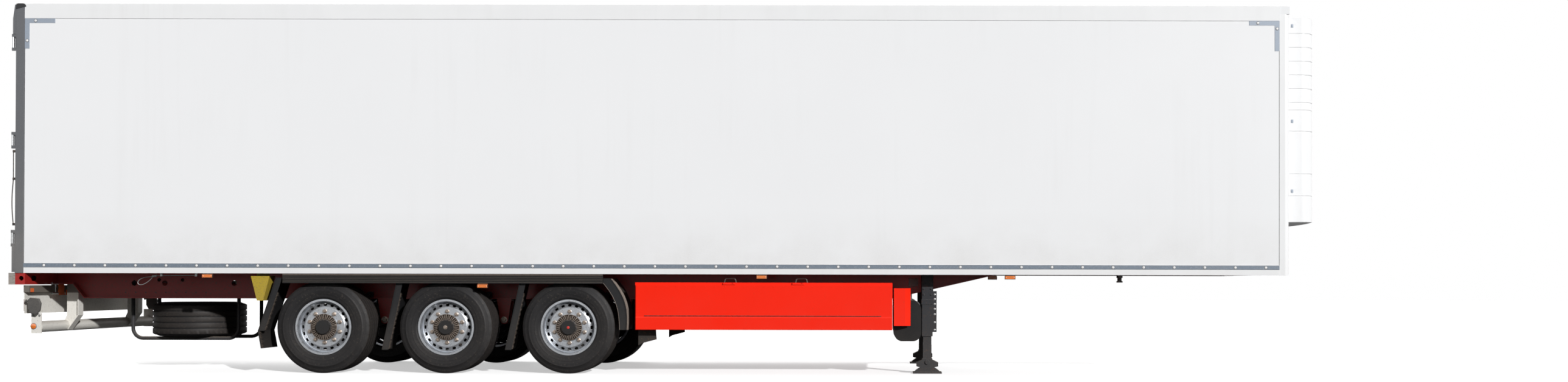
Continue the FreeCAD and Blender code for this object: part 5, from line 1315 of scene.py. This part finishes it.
def air_lines():
    """Air and electric lines clipped along the rails, the brake valves, and a plate on one rail."""
    lines, clips, valves, plates = shapes(4)
    under = box_of("cross_members")[0].z
    for sign, levels in ((-1, (968, 990)), (1, (955, 975, 995))):
        for index, level in enumerate(levels):
            lines.swept([at(-6100 + 8600 * step / 44, (634 - 5 * index) * sign,
                            level + 2 * math.sin(step * 2.1 + index * 1.7)) for step in range(45)], 6, 6)
        for along in range(-5900, 2261, 1020):
            clips.box((along - 8, 616 * sign, levels[0] - 22), (along + 8, 644 * sign, levels[-1] + 20), 2)
    for along, across in ((-3620, 180), (-1350, -150), (-4100, -80)):
        spot = at(along, across, under - 70)
        valves.box(spot - at(60, 55, 50), spot + at(60, 55, 68), 6)
        for way in (-1, 1):
            valves.rod(spot + Y_AXIS * 54 * way, spot + Y_AXIS * 84 * way, 14, 14)
            valves.rod(spot + at(59 * way, 20, -20), spot + at(80 * way, 20, -20), 10, 12)
    for along in (-3070, -2830, -2070, -1830):
        valves.rod(at(along, 0, 838), at(along, 0, 812), 11, 12)
    plates.box((2550, -664, 934), (2650, -656, 1022))
    lines.made("air_lines", "root", "spring_rubber", "seal_black")
    clips.made("line_clips", "root", "zinc_steel", "dusty_iron")
    valves.made("brake_valves", "root", "under_black", "leg_grey")
    plates.made("rail_plates", "root", "under_black", "frame_grey")


def spare_clamp():
    """The bar and spindle that hold the spare wheel on its carrier."""
    low, high = box_of("spare_tyre")
    x = (low.x + high.x) / 2
    shape = Shape()
    shape.box((x - 35, -285, low.z - 14), (x + 35, 285, low.z - 1), 2)
    shape.rod(at(x, 0, low.z - 30), at(x, 0, low.z + 330), 12)
    shape.bolt(at(x, 0, low.z - 14), -Z_AXIS, 36, 22, 30)
    shape.made("spare_clamp", "root", "leg_grey", "dusty_iron")


def unit_trim():
    """Latches, fans, handles and drains of the cooling unit, and its gasket."""
    low, high = box_of("cooling_unit_housing")
    back, front = low.x, high.x
    latches, fans, dark = shapes(3)
    for sign in SIDES.values():
        for level in (3756, 2727, 1973):
            latches.box((back + 86, (high.y - 1) * sign, level - 18),
                        (back + 110, (high.y + 5) * sign, level + 18), 2)
            knob = at(back + 98, (high.y + 4) * sign, level)
            latches.rod(knob, knob + Y_AXIS * 4 * sign, 7)
        spot = at(back + 298, 400 * sign, 3300)
        fans.turned([(0, 285), (46, 285), (52, 279), (52, 268), (0, 268)], spot, X_AXIS, 64)
        fans.turned([(0, 70), (40, 70), (46, 60), (46, 0)], spot, X_AXIS, 32)
        for angle in ring_angles(7):
            lie = at(0, math.cos(angle), math.sin(angle))
            across = X_AXIS.cross(lie)
            rings = []
            for radius, half, tilt in ((60, 40, 18), (150, 62, 14), (262, 72, 9)):
                centre = spot + lie * radius + X_AXIS * 24
                rings.append([centre + across * reach + X_AXIS * depth for reach, depth in (
                    (-half, -tilt), (half, tilt), (half, tilt + 3), (-half, 3 - tilt))])
            fans.join(rings)
        dark.box((front - 8, 110 * sign, 2320), (front + 1.5, 180 * sign, 2420), 2)
        latches.box((front - 2, 126 * sign, 2335), (front + 8, 164 * sign, 2365), 3)
    dark.box((front - 14, -2.5, low.z + 40), (front + 0.8, 2.5, 2610), 0.3)
    for first, last in (((low.y - 7, low.z - 7), (low.y + 1, high.z + 7)),
                        ((high.y - 1, low.z - 7), (high.y + 7, high.z + 7)),
                        ((low.y, low.z - 7), (high.y, low.z + 1)),
                        ((low.y, high.z - 1), (high.y, high.z + 7))):
        dark.box((back - 1, *first), (back + 14, *last), 3)
    for across in (-620, 640):
        dark.swept([at(back + along, across, up) for along, up in (
            (60, low.z + 4), (58, low.z - 60), (20, low.z - 110), (16, 1200))], 13, 12)
    latches.made("unit_latches", "root", "unit_white", "corner_grey")
    fans.made("unit_fans", "root", "grille_black", "grille_black")
    dark.made("unit_seals", "root", "grille_black", "seal_black")


def front_couplings():
    """The plate with the air and electric couplings low on the front wall."""
    plate, red, yellow, dark = shapes(4)
    plate.box((NOSE - 1, -310, 1285), (NOSE + 5, 310, 1425), 2)
    for across, shape in ((-230, red), (230, yellow)):
        spot = at(NOSE + 4, across, 1355)
        plate.rod(spot, spot + X_AXIS * 34, 17, 20)
        shape.turned([(30, 30), (36, 33), (56, 33), (61, 26), (61, 0)], spot, X_AXIS, 28)
        shape.box(spot + at(38, -12, -52), spot + at(52, 12, -24), 3)
    for across in (-95, 0, 95):
        spot = at(NOSE + 4, across, 1355)
        dark.turned([(0, 43), (5, 43), (7, 36), (38, 36), (42, 39), (50, 39), (53, 34), (53, 0)],
                    spot, X_AXIS, 32)
        dark.box(spot + at(30, -14, 34), spot + at(48, 14, 48), 3)
    for across in (-295, -165, 165, 295):
        for up in (1300, 1410):
            plate.bolt(at(NOSE + 5, across, up), X_AXIS, 13, 6, 10)
    plate.made("coupling_panel", "root", "zinc_steel", "zinc_steel")
    red.made("air_coupling_red", "root", "chassis_red", "cap_red")
    yellow.made("air_coupling_yellow", "root", "chock_yellow", "chock_yellow")
    dark.made("electric_sockets", "root", "grille_black", "hub_black")


# Stage, camera and light

def floor():
    """A plain floor that shows white but keeps the shadow and throws little light up."""
    data = bpy.data.meshes.new("floor_sheet")
    corners = [(x * FLOOR_REACH, y * FLOOR_REACH, 0) for x, y in ((-1, -1), (1, -1), (1, 1), (-1, 1))]
    data.from_pydata(corners, [], [(0, 1, 2, 3)])
    link("floor_sheet", data)
    made = bpy.data.materials.new("floor_pale")
    made.use_nodes = True
    tree = made.node_tree
    seen = add(tree, "LightPath").outputs["Is Camera Ray"]
    level = span(tree, seen, 0.0, 1.0, 0.1, 0.95)
    colour = add(tree, "CombineColor", {"Red": level, "Green": level, "Blue": level}).outputs[0]
    put(tree, tree.nodes["Principled BSDF"],
        {"Base Color": colour, "Roughness": 0.95, "Specular IOR Level": 0.0,
         "Emission Color": (1, 1, 1, 1), "Emission Strength": times(tree, seen, 0.5)})
    data.materials.append(made)


def sky():
    """A sky that shows white and lights the object only softly."""
    world = bpy.data.worlds.new("studio_sky")
    bpy.context.scene.world = world
    world.use_nodes = True
    tree = world.node_tree
    path = add(tree, "LightPath").outputs
    seen = maths(tree, "MAXIMUM", path["Is Camera Ray"], path["Is Glossy Ray"])
    seen = maths(tree, "MAXIMUM", seen, path["Is Transmission Ray"])
    put(tree, tree.nodes["Background"],
        {"Color": (1, 1, 1, 1), "Strength": span(tree, seen, 0.0, 1.0, SKY_FILL, 1.0)})


def lights():
    """A sun from ahead on the near side, as in the photograph, and soft light from behind."""
    for name, strength, size, start in (("sun", SUN_STRENGTH, SUN_SIZE, SUN_FROM),
                                        ("fill", FILL_STRENGTH, FILL_SIZE, FILL_FROM)):
        data = bpy.data.lights.new(name, "SUN")
        data.energy = strength
        data.angle = math.radians(size)
        link(name, data).rotation_euler = Vector(start).to_track_quat("Z", "Y").to_euler()


def camera():
    """The photograph's place, lens and framing."""
    data = bpy.data.cameras.new("camera")
    data.lens = CAMERA_LENS
    data.sensor_width = CAMERA_SENSOR
    data.sensor_fit = "HORIZONTAL"
    data.shift_x, data.shift_y = CAMERA_SHIFT
    data.clip_end = 300
    thing = link("camera", data)
    thing.location = CAMERA_PLACE
    thing.rotation_euler = (math.radians(90 + CAMERA_PITCH), math.radians(-CAMERA_ROLL), 0)
    bpy.context.scene.camera = thing


for build in (tyres, wheel_trim, hub_marks, body_rivets, body_seams, door_edges, hinge_side_rods,
              tail_lights, lashing, bumper_fittings, pull_rods, rail_hole_shades, marker_bezels,
              pallet_box_trim, flap_bristles, mudguard_trim, landing_trim, axle_trim, air_lines,
              spare_clamp, unit_trim, front_couplings, floor, sky, lights, camera):
    build()

bpy.context.scene.view_settings.view_transform = "Standard"
